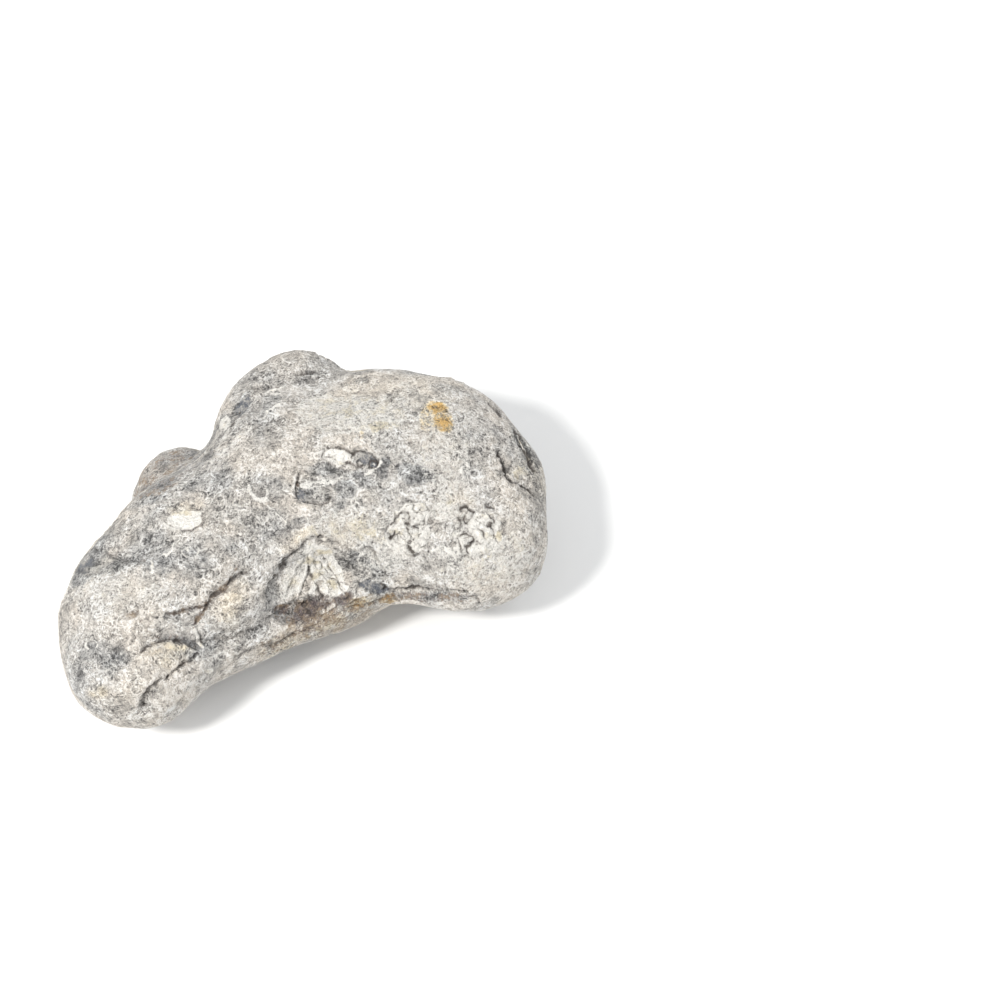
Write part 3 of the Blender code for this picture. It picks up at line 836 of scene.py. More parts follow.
FRONT_PATCHES = (
    # Painted shadow: the dark brown band under the hood's overhang, above the foot lump.
    Patch("hood_shadow", (-48.3, -35.8), (8.1, 1), -2, soil=0.5, grey=0.3),
    Patch("hood_shadow_dark", (-42, -38), (4, 1.2), -28, soil=0.35, grey=0.9),
    Patch("crescent_inside", (-16, 18.9), (2.9, 2.6), 0, grey=0.7, lift=-0.3),
    Patch("white_oval", (-43.5, 7.2), (7.3, 3.3), 12, chalk=1.4, lift=-0.5),
    Patch("white_oval_halo", (-42.8, 11.9), (7.3, 2.6), 8, warm=0.6),
    Patch("knob_grey", (-2.4, 63.7), (13.9, 7.3), 15, grey=0.45),
    Patch("knob_side", (-18.5, 53.8), (9.5, 7.3), 50, grey=0.5),
    Patch("ring_basin_grey", (-12.3, 40.2), (8.8, 6.6), 0, grey=0.5),
    Patch("ring_grey", (-15.6, 18.5), (4.4, 4), 0, grey=0.6),
    Patch("mid_grey", (-14.9, 5.7), (12.5, 7.3), -25, grey=0.6),
    Patch("mid_grey_left", (-33.9, -3.1), (19.1, 5.1), 8, grey=0.45),
    Patch("left_edge_grey", (-74, -0.9), (11.4, 5.5), 40, grey=0.9),
    Patch("arm_grey", (-50.5, -5.7), (14.7, 3.7), 4, grey=0.45),
    Patch("strip_grey", (41.3, 24), (7.7, 3.7), -22, grey=1.05),
    Patch("right_grey", (62.9, 30.6), (6.6, 8.8), 10, grey=0.75),
    Patch("right_grey_up", (65.1, 42.4), (6.6, 4.4), -35, chalk=0.25),
    Patch("crest_grey", (71.4, 32.8), (2.9, 4.4), 0, grey=0.5),
    Patch("spot_top", (21.8, 58.2), (2.6, 1.5), 0, grey=0.9),
    Patch("spot_top_right", (33.2, 51.6), (3.7, 2.2), 0, grey=0.6),
    Patch("spot_top_far", (44.6, 51.9), (3.7, 1.5), 0, grey=0.5),
    Patch("foot_grey_low", (-81.7, -50.1), (4.4, 6.6), -10, grey=0.6),
    Patch("furrow_grey", (-29.5, -37.6), (19.1, 4), 18, grey=0.65),
    Patch("under_grey", (-29.5, -44.2), (16.1, 2.9), 28, grey=0.25),
    Patch("alcove_side_grey", (-11.2, -22.9), (6.6, 6.6), 40, grey=0.4),
    Patch("crease_grey", (-56, -58.9), (3.7, 5.9), -20, grey=0.5),
    Patch("crust_between", (53, -0.2), (4, 6.6), 0, grey=0.2),
    Patch("lip_grey", (45.3, -21.1), (16.1, 2), -3, grey=0.9, soil=0.62),
    Patch("top_pale", (30.3, 51.2), (29.4, 11), 5, warm=0.35),
    Patch("saddle_pale", (21.8, 3.5), (16.9, 6.2), 5, warm=0.6),
    Patch("foot_pale", (-68.4, -20), (15.4, 7), -3, warm=0.2, chalk=0.24),
    Patch("arch_pale", (-2.4, -0.6), (8.8, 1.8), 38, warm=0.8),
    Patch("lump_yellow", (-26.2, -23.7), (9.2, 5.5), 55, warm=1.0),
    Patch("foot_lump", (-50.1, -43.1), (8.8, 4.8), -12, warm=0.9),
    Patch("lump_edge", (-47.9, -39.1), (7.3, 1.7), -14, warm=1.5, rust=0.14),
    Patch("foot_lump_tail", (-61.8, -53), (8.8, 4.8), 45, warm=0.2, grey=0.25),
    Patch("right_pale", (57.8, -13), (22, 6.2), 3, warm=0.15),
    Patch("far_right_pale", (79.8, 5.3), (5.9, 14.7), 5, warm=0.25),
    Patch("rust_top", (49.7, 47.9), (4, 2.6), 0, rust=0.9),
    Patch("rust_low", (51.6, 42.8), (3.7, 3.1), -20, rust=0.95),
    Patch("rust_halo", (49, 45), (6.2, 5.5), 0, rust=0.46),
    Patch("rust_fleck", (22.2, 38.4), (1.1, 1.8), 0, rust=0.45),
    Patch("olive_fleck", (28.1, 42), (3.7, 1.5), 15, warm=1.0, grey=0.5, lift=-0.2),
    # Painted shadow on the low back lobe, which lies in the arm's shade.
    Patch("back_lobe_shadow", (-53, 25.5), (15.4, 8.1), 28, soil=0.45),
    Patch("edge_facet", (79.8, 25.5), (4.8, 4), -20, warm=0.5, chalk=0.3, lift=-0.4),
    Patch("basin_grey", (3.9, 18.2), (6.6, 5.5), 0, grey=0.9, lift=-0.5),
    Patch("basin_dark", (0.2, 16.7), (1.7, 2.9), 28, grey=1.6, soil=0.2),
    Patch("basin_pit", (-2, 20.9), (0.7, 1.1), 0, soil=1.5, lift=-0.6),
    Patch("basin_lump", (6.4, 15.6), (2.2, 2.2), 0, chalk=0.42, rough=0.3, lift=0.35),
    Patch("basin_above", (7.2, 25.9), (7.3, 2.2), 3, grey=0.95),
    Patch("basin_right", (13.4, 13.4), (2.9, 4), -20, grey=0.75),
    Patch("basin_chunk", (16.3, 18.5), (3.7, 3.3), 0, grey=0.9, rough=0.6),
    Patch("beside_streak", (29.5, 25.9), (2.6, 4.4), -20, grey=1.15, lift=-0.2),
    Patch("under_oval", (15.6, 24.4), (8.8, 2.2), -5, grey=0.55),
    Patch("oval_mid", (12.7, 30.6), (6.1, 2.4), -4, chalk=1.6, lift=-0.25),
    Patch("grey_oval", (22.9, 29.9), (4.8, 2.6), -18, grey=1.5, lift=-0.3),
    Patch("ring_hole", (25.7, 28.1), (1.3, 1.4), 0, grey=1.6, lift=-0.4),
    Patch("ring_hole_middle", (25.7, 28), (0.5, 0.5), 0, chalk=0.6, lift=0.3),
    Patch("chalk_pocket", (5.7, -8.3), (7.3, 4.8), -75, chalk=0.75, rough=0.3, warm=0.5),
    Patch("chalk_cream", (10.5, -11.9), (9.5, 4), -68, chalk=1.3, rough=0.25, warm=0.5, lift=0.3),
    Patch("chalk_pocket_low", (11.9, -17.8), (4.8, 3.3), 8, chalk=1.0, rough=0.7, lift=0.2),
    Patch("chalk_pocket_side", (-3.9, -14.9), (3.7, 7.3), -25, chalk=0.5, rough=0.35),
    Patch("pocket_grey", (19.6, -9), (9.9, 4.4), -26, grey=1.0, rough=0.15),
    Patch("pocket_wedge", (25.9, -17.4), (5.9, 2.2), -8, grey=1.7, lift=-0.4),
    Patch("cavity_mouth", (-0.2, -25.5), (10.6, 5.1), 18, soil=0.4, grey=0.9, rough=1.0, lift=-1.3),
    Patch("cavity_purple", (0.6, -27), (5.5, 3.7), 25, soil=0.85, grey=0.4, rough=0.8, lift=-0.5),
    Patch("cavity_brown", (-7.2, -25.5), (2.9, 2.2), 0, soil=0.9, rust=0.2, lift=-0.3),
    Patch("cavity_specks", (6.4, -22.9), (5.5, 2.9), 20, soil=0.85, rough=1.0, lift=-0.4),
    Patch("cavity_right", (14.9, -21.8), (4.4, 2.6), 15, soil=1.0, grey=0.5, rough=0.6, lift=-0.4),
    Patch("rim_brown", (12.3, -29.9), (18.4, 4.4), 20, soil=0.55, warm=1.0, rough=0.15),
    Patch("rim_brown_left", (-7.2, -36.9), (12.5, 2.9), 24, soil=0.45, warm=0.9),
    Patch("rim_ochre", (21.1, -23.3), (6.6, 2.2), 14, warm=1.0, rust=0.15),
    Patch("ochre_spot", (32.5, -21.1), (2.9, 1.8), -20, rust=0.7, grey=0.5),
    Patch("lower_rim", (-7.2, -39.8), (10.3, 2.2), 26, warm=0.8),
    Patch("crust_left", (38.7, 2.8), (8.1, 9.2), -15, chalk=0.62, rough=0.85, lift=0.35),
    Patch("crust_left_up", (41.3, 9.4), (5.5, 4.4), 10, chalk=1.25, rough=0.65, lift=0.4),
    Patch("crust_left_lump", (38, 2), (2.6, 3.7), 0, chalk=1.2, lift=0.6),
    Patch("crust_left_low", (41.7, -0.9), (3.3, 2.2), -60, chalk=0.9, lift=0.3),
    Patch("crust_right", (64.4, 2.8), (9.5, 9.2), 0, chalk=0.45, rough=0.85, lift=0.35),
    Patch("crust_right_low", (64.8, -2.4), (4.4, 1.8), 5, chalk=1.2, lift=0.4),
    Patch("crust_right_mid", (66.2, 6.1), (5.5, 3.7), -10, chalk=0.85, lift=0.3),
    Patch("crust_between_pale", (53, -4.6), (5.9, 2.2), 0, chalk=0.4),
    Patch("right_white", (68.8, -7.5), (16.9, 10.3), 10, chalk=0.38),
    Patch("saddle_white", (16.7, 5), (14.7, 5.1), 0, chalk=0.38),
    # Painted light whitens the top, where the light falls on it.
    Patch("top_light", (16.7, 45.7), (20.6, 7.3), -4, chalk=0.44),
    Patch("left_edge", (-86.8, -30.3), (3.7, 16.9), 0, grey=0.6),
    Patch("foot_edge", (-72.5, -60.7), (19.1, 5.9), -28, grey=0.55),
    # Painted shade along the flank of the shadowed back lobe.
    Patch("flank_edge", (-56, 21.8), (22, 4.4), 33, grey=0.5),
    Patch("top_white", (56, 14.5), (8.1, 3.7), 0, chalk=0.25, warm=0.3),
    Patch("small_white", (-41.7, -3.1), (1.1, 0.7), 0, chalk=0.8),
    Patch("blue_spot", (-21.5, 49.4), (2, 4.4), -38, grey=1.65, lift=-0.3),
    Patch("root_white", (-28.4, 42.4), (1.8, 2.9), -35, chalk=0.8, rough=0.4, lift=0.3),
    # Painted shade on the shadowed back lobe.
    Patch("flank_shade", (-55.2, 16.7), (11, 3.7), 32, grey=0.9),
    Patch("foot_grey", (-72.1, -42), (10.3, 4.8), -8, grey=0.75),
    Patch("foot_blue", (-70.3, -48.3), (2.9, 3.3), -30, grey=0.5, chalk=0.25),
    Patch("foot_brown", (-74.7, -56), (3.7, 2.6), -10, warm=1.2, soil=0.15),
    Patch("brown_pit", (-62.9, -28.1), (3.3, 1.5), 30, soil=0.42, lift=-0.3),
    Patch("brown_pit_low", (-57.8, -31), (2.9, 1.8), -30, soil=0.3, lift=-0.4),
    Patch("band_grey", (-69.9, -7.5), (11.7, 2.6), -4, grey=0.55),
    Patch("centre_dark", (-22.9, 9), (8.8, 4.4), -20, grey=0.6),
    Patch("under_basin", (-8.3, 7.2), (7.3, 3.7), -30, grey=0.5),
    Patch("lower_flake", (-34.3, -47.9), (1.8, 1), 15, chalk=0.5, warm=0.9, rough=0.5, lift=0.1),
    Patch("flank_tone", (-28.8, 39.5), (5.1, 8.8), -50, grey=0.7),
    Patch("mid_band", (-23.7, 19.6), (20.6, 6.2), -5, grey=0.65),
    Patch("flank_low", (-53, 3.5), (16.9, 7.3), 25, grey=0.7),
    Patch("left_dark", (-82.4, -11.2), (7.3, 5.1), 50, grey=1.1),
    Patch("centre_low", (-33.2, -11.9), (13.2, 7.3), 30, grey=0.35),
    Patch("left_band_grey", (-74.3, -9.7), (12.5, 3.3), 8, grey=0.8, warm=0.4),
    Patch("flank_mid", (-31.7, 10.8), (5.5, 6.2), 0, grey=0.65),
    Patch("arm_low", (-18.5, -25.1), (15.4, 4.4), 30, grey=0.5),
    Patch("arm_band", (-48.6, -9), (10.3, 3.7), 0, grey=0.62),
    Patch("dark_spot", (25.1, 22.9), (5.5, 4.8), 0, grey=0.8),
    # Painted shade greys the right edge where it curves away from the light.
    Patch("right_edge", (84.6, 31), (5.5, 16.9), 22, grey=0.75, warm=0.6),
    Patch("right_light", (52.7, 30.6), (9.5, 15.4), 0, chalk=0.36),
    Patch("pocket_light", (29.2, -4.6), (9.5, 6.6), -30, chalk=0.4),
    Patch("rim_dark", (3.9, -30.3), (12.5, 3.3), 22, soil=0.45, warm=0.6),
    Patch("split_brown", (-30.6, -20), (7, 1.3), 45, soil=0.7, grey=0.2, lift=-0.3),
    Patch("split_brown_top", (-25.1, -12.3), (3.7, 1), 70, soil=0.5, grey=0.3),
    Patch("split_brown_left", (-41.3, -25.9), (7.7, 1.1), 14, soil=0.7, grey=0.2),
    Patch("split_brown_low", (-37.3, -28.1), (5.1, 1), 50, soil=0.75),
    # Painted shade greys the lower right edge.
    Patch("right_edge_low", (86.4, 9), (3.3, 12.5), 2, grey=0.6),
    Patch("basin_side", (28.4, 15.6), (5.1, 3.3), -20, grey=0.6),
    Patch("ring_low", (-18.2, 21.8), (4.4, 4.4), 0, grey=0.65),
    # Painted shade in the notch between the knob and the lobes, in grey and soil.
    Patch("notch_shade", (-36.1, 32.8), (4.4, 6.2), -45, grey=1.1, soil=0.3),
    Patch("hood_blue", (-85.3, -51.6), (2.9, 5.1), -10, grey=0.4),
    Patch("crust_right_side", (68.1, 1.7), (4.8, 4.8), 0, chalk=0.95, lift=0.3),
    Patch("crust_olive", (72.8, 2), (1.1, 1.8), 0, warm=1.2, grey=0.4),
    Patch("crest_edge", (73.6, 36.5), (3.3, 8.1), 15, grey=0.5),
    Patch("between_white", (53, 10.8), (5.1, 5.1), 0, chalk=0.35),
    Patch("knob_low", (-13, 48.3), (4.4, 2.6), 10, grey=0.5),
    Patch("oval_above", (7.9, 33.6), (5.1, 2.2), 0, grey=0.35),
    Patch("pocket_back", (-1.3, -4.6), (3.3, 5.1), -35, grey=0.45),
    # Painted shade greys the right edge.
    Patch("edge_low", (80.6, 20.7), (3.3, 7.3), 12, grey=0.45),
    Patch("arm_high", (-41.3, -18.5), (5.9, 2.9), 10, grey=0.3),
    Patch("wedge_low", (29.9, -21.1), (6.6, 1.8), -5, soil=0.6, rust=0.3, warm=0.6),
    Patch("basin_low", (19.6, 13.4), (3.3, 2.6), 0, grey=0.5),
    Patch("crease_blue", (-51.2, -56.7), (4.4, 3.3), 30, grey=0.4, chalk=0.25),
    Patch("foot_mauve", (-64.8, -36.9), (8.8, 4.4), 0, grey=0.25),
    Patch("crust_between_top", (50.5, 10.1), (3.7, 3.3), 0, chalk=0.4),
    Patch("shelf_pale", (79.5, 24), (3.3, 2.2), -35, warm=0.6, chalk=0.35),
    Patch("basin_spots", (5, 17.1), (4.4, 2.9), 0, grey=0.35),
    Patch("pocket_grey_low", (21.8, -14.5), (4.8, 3.3), -40, grey=0.75),
    Patch("rim_right_brown", (23.3, -22.9), (8.8, 2.2), 14, soil=0.35, warm=1.0, rust=0.25),
    Patch("fan_tint", (10.1, -13), (8.1, 3.7), -65, grey=0.3),
)
FRONT_RINGS = (
    Ring("knob_ring_left", (-16.7, 58.9), (1.8, 1.5), 180, arc=0.6, chalk=0.5),
    Ring("top_ring", (-11.6, 40.9), (7, 5.5), 160, arc=0.6, chalk=0.35),
    Ring("grey_ring", (18.2, 15.6), (2.6, 2.6), -60, arc=0.5, chalk=0.6),
    Ring("knob_o", (-8.6, 51.7), (1.6, 1.5), 0, arc=1.0, chalk=1.1),
    Ring("knob_long", (-11.2, 51.2), (4.8, 2.2), 0, arc=1.0, chalk=0.5),
    Ring("knob_ring", (-12.7, 60), (2, 1.5), 30, arc=1.0, chalk=0.6),
    Ring("knob_top_ring", (-4.6, 65.1), (2.2, 1.5), 100, arc=0.7, chalk=0.6),
    Ring("arm_o", (-40.6, -3.9), (3.1, 2.2), 0, arc=1.0, chalk=0.55),
    Ring("arm_circle", (-35.4, -6.4), (2.6, 2.6), 60, arc=0.8, chalk=0.55),
    Ring("arm_curl", (-50.1, -12.3), (2.2, 1.8), 0, arc=1.0, chalk=0.6),
    Ring("arm_curl_low", (-45.7, -16), (1.8, 2.2), 200, arc=0.6, chalk=0.8),
    Ring("arm_curl_right", (-31, -12.7), (2.2, 1.8), 120, arc=0.6, chalk=0.7),
    Ring("foot_ring", (-77.6, -38.7), (2, 2.2), 90, arc=0.85, chalk=0.9),
    Ring("foot_curl", (-67.7, -42.8), (2.2, 1.8), -40, arc=0.6, chalk=0.8),
    Ring("centre_curl", (-25.9, 11.6), (2.2, 1.8), 10, arc=0.7, chalk=0.8),
    Ring("centre_curl_low", (-20.7, 6.4), (1.8, 1.5), 190, arc=0.8, chalk=0.8),
    Ring("centre_o", (-14.9, 9), (1.8, 1.5), 0, arc=1.0, chalk=0.7),
    Ring("right_curl", (60, 25.5), (1.8, 2.2), 140, arc=0.6, chalk=0.8),
    Ring("right_curl_low", (56, 31), (2.2, 1.8), -20, arc=0.6, chalk=0.7),
    Ring("top_curl", (18.2, 48.3), (2.6, 1.8), 60, arc=0.5, chalk=0.6),
    Ring("under_oval_curl", (14.5, 24.4), (2.9, 1.5), 180, arc=0.7, chalk=0.7),
    Ring("hollow_curl", (23.3, -7.2), (2.6, 1.8), -150, arc=0.6, chalk=0.45),
    Ring("furrow_curl", (-24.4, -39.8), (1.8, 1.5), 20, arc=0.7, chalk=0.8),
    Ring("furrow_curl_left", (-29.5, -42.4), (1.8, 1.5), 160, arc=0.7, chalk=0.7),
    Ring("saddle_ring", (-0.9, 7.2), (2.6, 1.8), 40, arc=0.5, chalk=0.5),
    Ring("right_ring", (46.1, 11.6), (1.8, 2.2), 20, arc=0.7, chalk=0.6),
    Ring("foot_ring_low", (-72.5, -47.2), (2.6, 1.8), 250, arc=0.6, chalk=0.5),
)
# Marks on the parts that only show from behind, laid out as they are seen from there.
BACK_CUTS = (
    Cut("shoulder_crack", ((-70, 6), (-62, 2), (-55, 3), (-47, -2), (-41, -1)), 0.8, 1.1, shade=0.8),
    Cut("shoulder_branch", ((-55, 3), (-52, 9), (-47, 13)), 0.5, 0.7, shade=0.6),
    Cut("knob_root_line", ((-9, 4), (-12, -4), (-11, -12), (-5, -18)), 0.8, 0.9, shade=0.55),
    Cut("back_seam", ((24, 6), (31, 1), (39, 2), (47, -3), (58, -2)), 0.7, 0.9, shade=0.6),
    Cut("foot_line", ((66, 12), (73, 6), (78, -3)), 0.6, 0.6, shade=0.5),
    Cut("pale_scratch", ((-34, 12), (-29, 8), (-25, 7)), 0.35, -0.2, chalk=0.9),
)
BACK_PATCHES = (
    Patch("scar_flint", (-60, -4), (11, 8), 20, grey=1.0, lift=-0.3),
    Patch("scar_rim", (-59, 6), (12, 4), 12, chalk=0.8, rough=0.6, lift=0.2),
    Patch("shoulder_grey", (-36, 9), (17, 9), -10, grey=0.55),
    Patch("dip_soil", (-19, -9), (11, 7), 15, soil=0.45, rough=0.5),
    Patch("shoulder_pale", (-45, -14), (22, 9), 5, warm=0.6),
    Patch("knob_cap", (8, 3), (10, 9), 0, grey=0.6),
    Patch("knob_chalk", (12, -8), (5, 3.5), 30, chalk=1.1, lift=-0.3),
    Patch("low_grey", (24, -16), (20, 9), 10, grey=0.5),
    Patch("back_lobe_brown", (47, -12), (19, 12), 0, soil=0.3, warm=0.4),
    Patch("back_lobe_chalk", (54, -6), (7, 4), -20, chalk=1.1, rough=0.7, lift=0.2),
    Patch("arm_grey", (40, 12), (24, 8), -5, grey=0.6),
    Patch("end_pale", (74, 2), (12, 14), 0, warm=0.5),
    Patch("rust_spot", (-27, -2), (6, 4), 20, rust=0.7),
    Patch("rust_low", (63, -12), (5, 3), 0, rust=0.5),
    Patch("far_grey", (-78, 8), (9, 13), 0, grey=0.5),
)
BACK_RINGS = (
    Ring("shoulder_ring", (-44, 6), (4, 3.5), 40, arc=0.7, chalk=0.9),
    Ring("shoulder_ring_low", (-30, -13), (3, 2.5), 200, arc=0.6, chalk=0.8),
    Ring("knob_ring", (4, -4), (3, 3), 90, arc=0.8, chalk=0.8),
    Ring("arm_ring", (34, 9), (5, 4), 120, arc=0.6, chalk=0.7),
    Ring("lobe_ring", (43, -16), (3.5, 3), -30, arc=0.9, chalk=0.7),
    Ring("end_ring", (71, 8), (3, 3), 10, arc=0.7, chalk=0.8),
)
# Marks on the underside, laid out as they are seen from below.
UNDER_CUTS = (
    Cut("long_seam", ((-40, 22), (-24, 26), (-8, 31), (10, 30), (26, 36)), 0.9, 1.1, shade=0.7),
    Cut("seam_branch", ((-8, 31), (-3, 24), (4, 21)), 0.6, 0.7, shade=0.6),
    Cut("heel_crack", ((44, -16), (53, -11), (60, -12), (70, -5)), 0.7, 1.0, shade=0.8),
    Cut("foot_crack", ((-74, -36), (-66, -42), (-56, -41), (-49, -48)), 0.7, 0.9, shade=0.7),
    Cut("pale_scratch", ((-20, -22), (-13, -19), (-9, -20)), 0.35, -0.2, chalk=0.9),
)
UNDER_PATCHES = (
    Patch("pit_chalk", (46, 6), (12, 9), 25, chalk=0.9, rough=1.0),
    Patch("pit_edge", (52, 14), (14, 6), 20, grey=0.7),
    Patch("heel_grey", (66, -8), (15, 14), 0, grey=0.5),
    Patch("middle_pale", (6, 6), (32, 20), 12, warm=0.55),
    Patch("arm_grey", (-36, -14), (26, 12), 38, grey=0.6),
    Patch("foot_dip", (-60, -42), (12, 8), 30, soil=0.35, rough=0.5),
    Patch("foot_pale", (-68, -24), (14, 12), 0, warm=0.6),
    Patch("front_soil", (-10, -24), (26, 8), 20, soil=0.3),
    Patch("knob_grey", (-8, 56), (15, 13), 0, grey=0.6),
    Patch("shoulder_grey", (38, 44), (22, 12), -12, grey=0.5),
    Patch("back_lobe_brown", (-48, 26), (15, 15), 0, soil=0.35, warm=0.4),
    Patch("chalk_spot", (20, -10), (6, 4), 40, chalk=1.1, lift=-0.3),
    Patch("rust_spot", (-22, 12), (6, 5), 10, rust=0.8),
    Patch("crust", (-34, 6), (11, 8), -20, chalk=0.7, rough=0.9, lift=0.2),
)
UNDER_RINGS = (
    Ring("middle_ring", (14, 20), (4, 3.5), 60, arc=0.8, chalk=0.8),
    Ring("heel_ring", (62, 4), (3.5, 3.5), 150, arc=0.6, chalk=0.8),
    Ring("arm_ring", (-30, -8), (4, 3), -70, arc=0.7, chalk=0.8),
    Ring("foot_ring", (-66, -33), (3, 3), 20, arc=0.9, chalk=0.7),
    Ring("shoulder_ring", (48, 36), (3.5, 3), 220, arc=0.7, chalk=0.7),
)
# Marks on the right end, laid out as they are seen from the right.
SIDE_CUTS = (
    Cut("side_crack", ((-22, -3), (-13, -7), (-4, -6), (6, -11), (16, -10)), 0.7, 0.9, shade=0.7),
    Cut("side_branch", ((-4, -6), (-1, 0), (4, 3)), 0.5, 0.6, shade=0.5),
    Cut("side_scratch", ((28, -7), (33, -4), (37, -4)), 0.35, -0.2, chalk=0.9),
)
SIDE_PATCHES = (
    Patch("side_grey", (22, -12), (22, 10), 10, grey=0.6),
    Patch("side_pale", (-14, -17), (20, 9), 0, warm=0.6),
    Patch("side_chalk", (36, -13), (5, 2.2), 25, chalk=0.7, rough=0.7),
    Patch("side_rust", (-25, -12), (5, 4), 0, rust=0.6),
    Patch("side_soil", (8, -22), (16, 6), 5, soil=0.35),
)
SIDE_RINGS = (
    Ring("side_ring", (24, -4), (4, 3.5), 60, arc=0.7, chalk=0.9),
    Ring("side_ring_low", (-6, -18), (3, 3), 200, arc=0.8, chalk=0.8),
    Ring("side_ring_far", (46, -8), (3, 2.5), 120, arc=0.7, chalk=0.8),
)

# The middle of the nodule, and the viewpoints that the marks are laid out for.
MIDDLE = (-2.5, -2.7, 34.7)
FRONT_SIGHT = Sight(eye=(70.1, -387.0, 679.0), aim=(70.1, 9.6, 42.4), middle=MIDDLE)
BACK_SIGHT = Sight(eye=(-60.0, 640.0, 230.0), aim=MIDDLE, middle=MIDDLE)
UNDER_SIGHT = Sight(eye=(-2.5, -2.7, -700.0), aim=MIDDLE, middle=MIDDLE)
SIDE_SIGHT = Sight(eye=(640.0, -60.0, 130.0), aim=MIDDLE, middle=MIDDLE)


@dataclass(frozen=True)
class MarkSet:
    """Marks laid out on one plane.

    Attributes:
        sight: The viewpoint whose plane they are laid out on.
        marks: The marks, in the order they are made.
    """

    sight: Sight
    marks: tuple[Mark, ...]

    # Skin that faces the front more than this is split to SHOWN all over.
    SHOWN = 0.2

    def apply(self, surface: Surface, wander: Array, uneven: Unevenness) -> None:
        """Makes every mark on the skin.

        Args:
            surface: The skin.
            wander: How far each point's place on the plane is nudged, so that lines run naturally.
            uneven: What keeps marks from looking drawn.
        """
        flat = self.sight.flat(surface.points) + wander
        facing = self.sight.facing(surface.points, surface.normals)
        front = FRONT_SIGHT.facing(surface.points, surface.normals)
        if self.sight is FRONT_SIGHT:
            surface.refine(front > self.SHOWN, Level.SHOWN)
        else:
            facing = facing * (1.0 - front)
        for mark in self.marks:
            low, high = mark.extent()
            near = np.flatnonzero(((flat > low) & (flat < high)).all(axis=1) & (facing > VISIBLE))
            LOG.debug("%s reaches %d points", mark.name, len(near))
            part = surface.part(near)
            mark.mark(part, flat[near], facing[near], uneven.part(near))
            surface.merge(near, part)


MARK_SETS = (
    MarkSet(FRONT_SIGHT, FRONT_PATCHES + FRONT_CUTS + FRONT_RINGS),
    MarkSet(BACK_SIGHT, BACK_PATCHES + BACK_CUTS + BACK_RINGS),
    MarkSet(UNDER_SIGHT, UNDER_PATCHES + UNDER_CUTS + UNDER_RINGS),
    MarkSet(SIDE_SIGHT, SIDE_PATCHES + SIDE_CUTS + SIDE_RINGS),
)


@dataclass(frozen=True)
class SkinSizes:
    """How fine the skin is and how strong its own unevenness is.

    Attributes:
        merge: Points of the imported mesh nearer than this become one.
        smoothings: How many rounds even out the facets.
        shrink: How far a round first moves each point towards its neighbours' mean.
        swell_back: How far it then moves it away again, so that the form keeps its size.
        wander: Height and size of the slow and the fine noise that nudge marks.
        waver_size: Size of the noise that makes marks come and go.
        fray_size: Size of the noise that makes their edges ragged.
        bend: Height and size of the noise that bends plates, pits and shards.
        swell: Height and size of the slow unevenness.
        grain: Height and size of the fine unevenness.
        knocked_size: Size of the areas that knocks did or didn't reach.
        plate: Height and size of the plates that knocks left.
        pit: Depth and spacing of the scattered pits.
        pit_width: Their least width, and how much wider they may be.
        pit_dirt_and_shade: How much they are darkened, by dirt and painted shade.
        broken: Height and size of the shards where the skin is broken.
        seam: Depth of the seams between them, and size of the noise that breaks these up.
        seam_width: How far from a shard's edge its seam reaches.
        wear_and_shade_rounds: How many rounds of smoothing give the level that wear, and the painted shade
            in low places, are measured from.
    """

    merge: float = 0.01
    smoothings: int = 14
    shrink: float = 0.6
    swell_back: float = 0.62
    wander: tuple[Point2, Point2] = ((1.1, 7.0), (0.45, 2.2))
    waver_size: float = 4.5
    fray_size: float = 1.3
    bend: Point2 = (0.9, 3.0)
    swell: Point2 = (0.20, 9.0)
    grain: Point2 = (0.07, 2.4)
    knocked_size: float = 16.0
    plate: Point2 = (0.22, 4.2)
    pit: Point2 = (0.30, 6.0)
    pit_width: Point2 = (0.7, 1.3)
    pit_dirt_and_shade: float = 0.22
    broken: Point2 = (1.35, 3.4)
    seam: Point2 = (0.35, 2.4)
    seam_width: float = 0.45
    wear_and_shade_rounds: int = 10


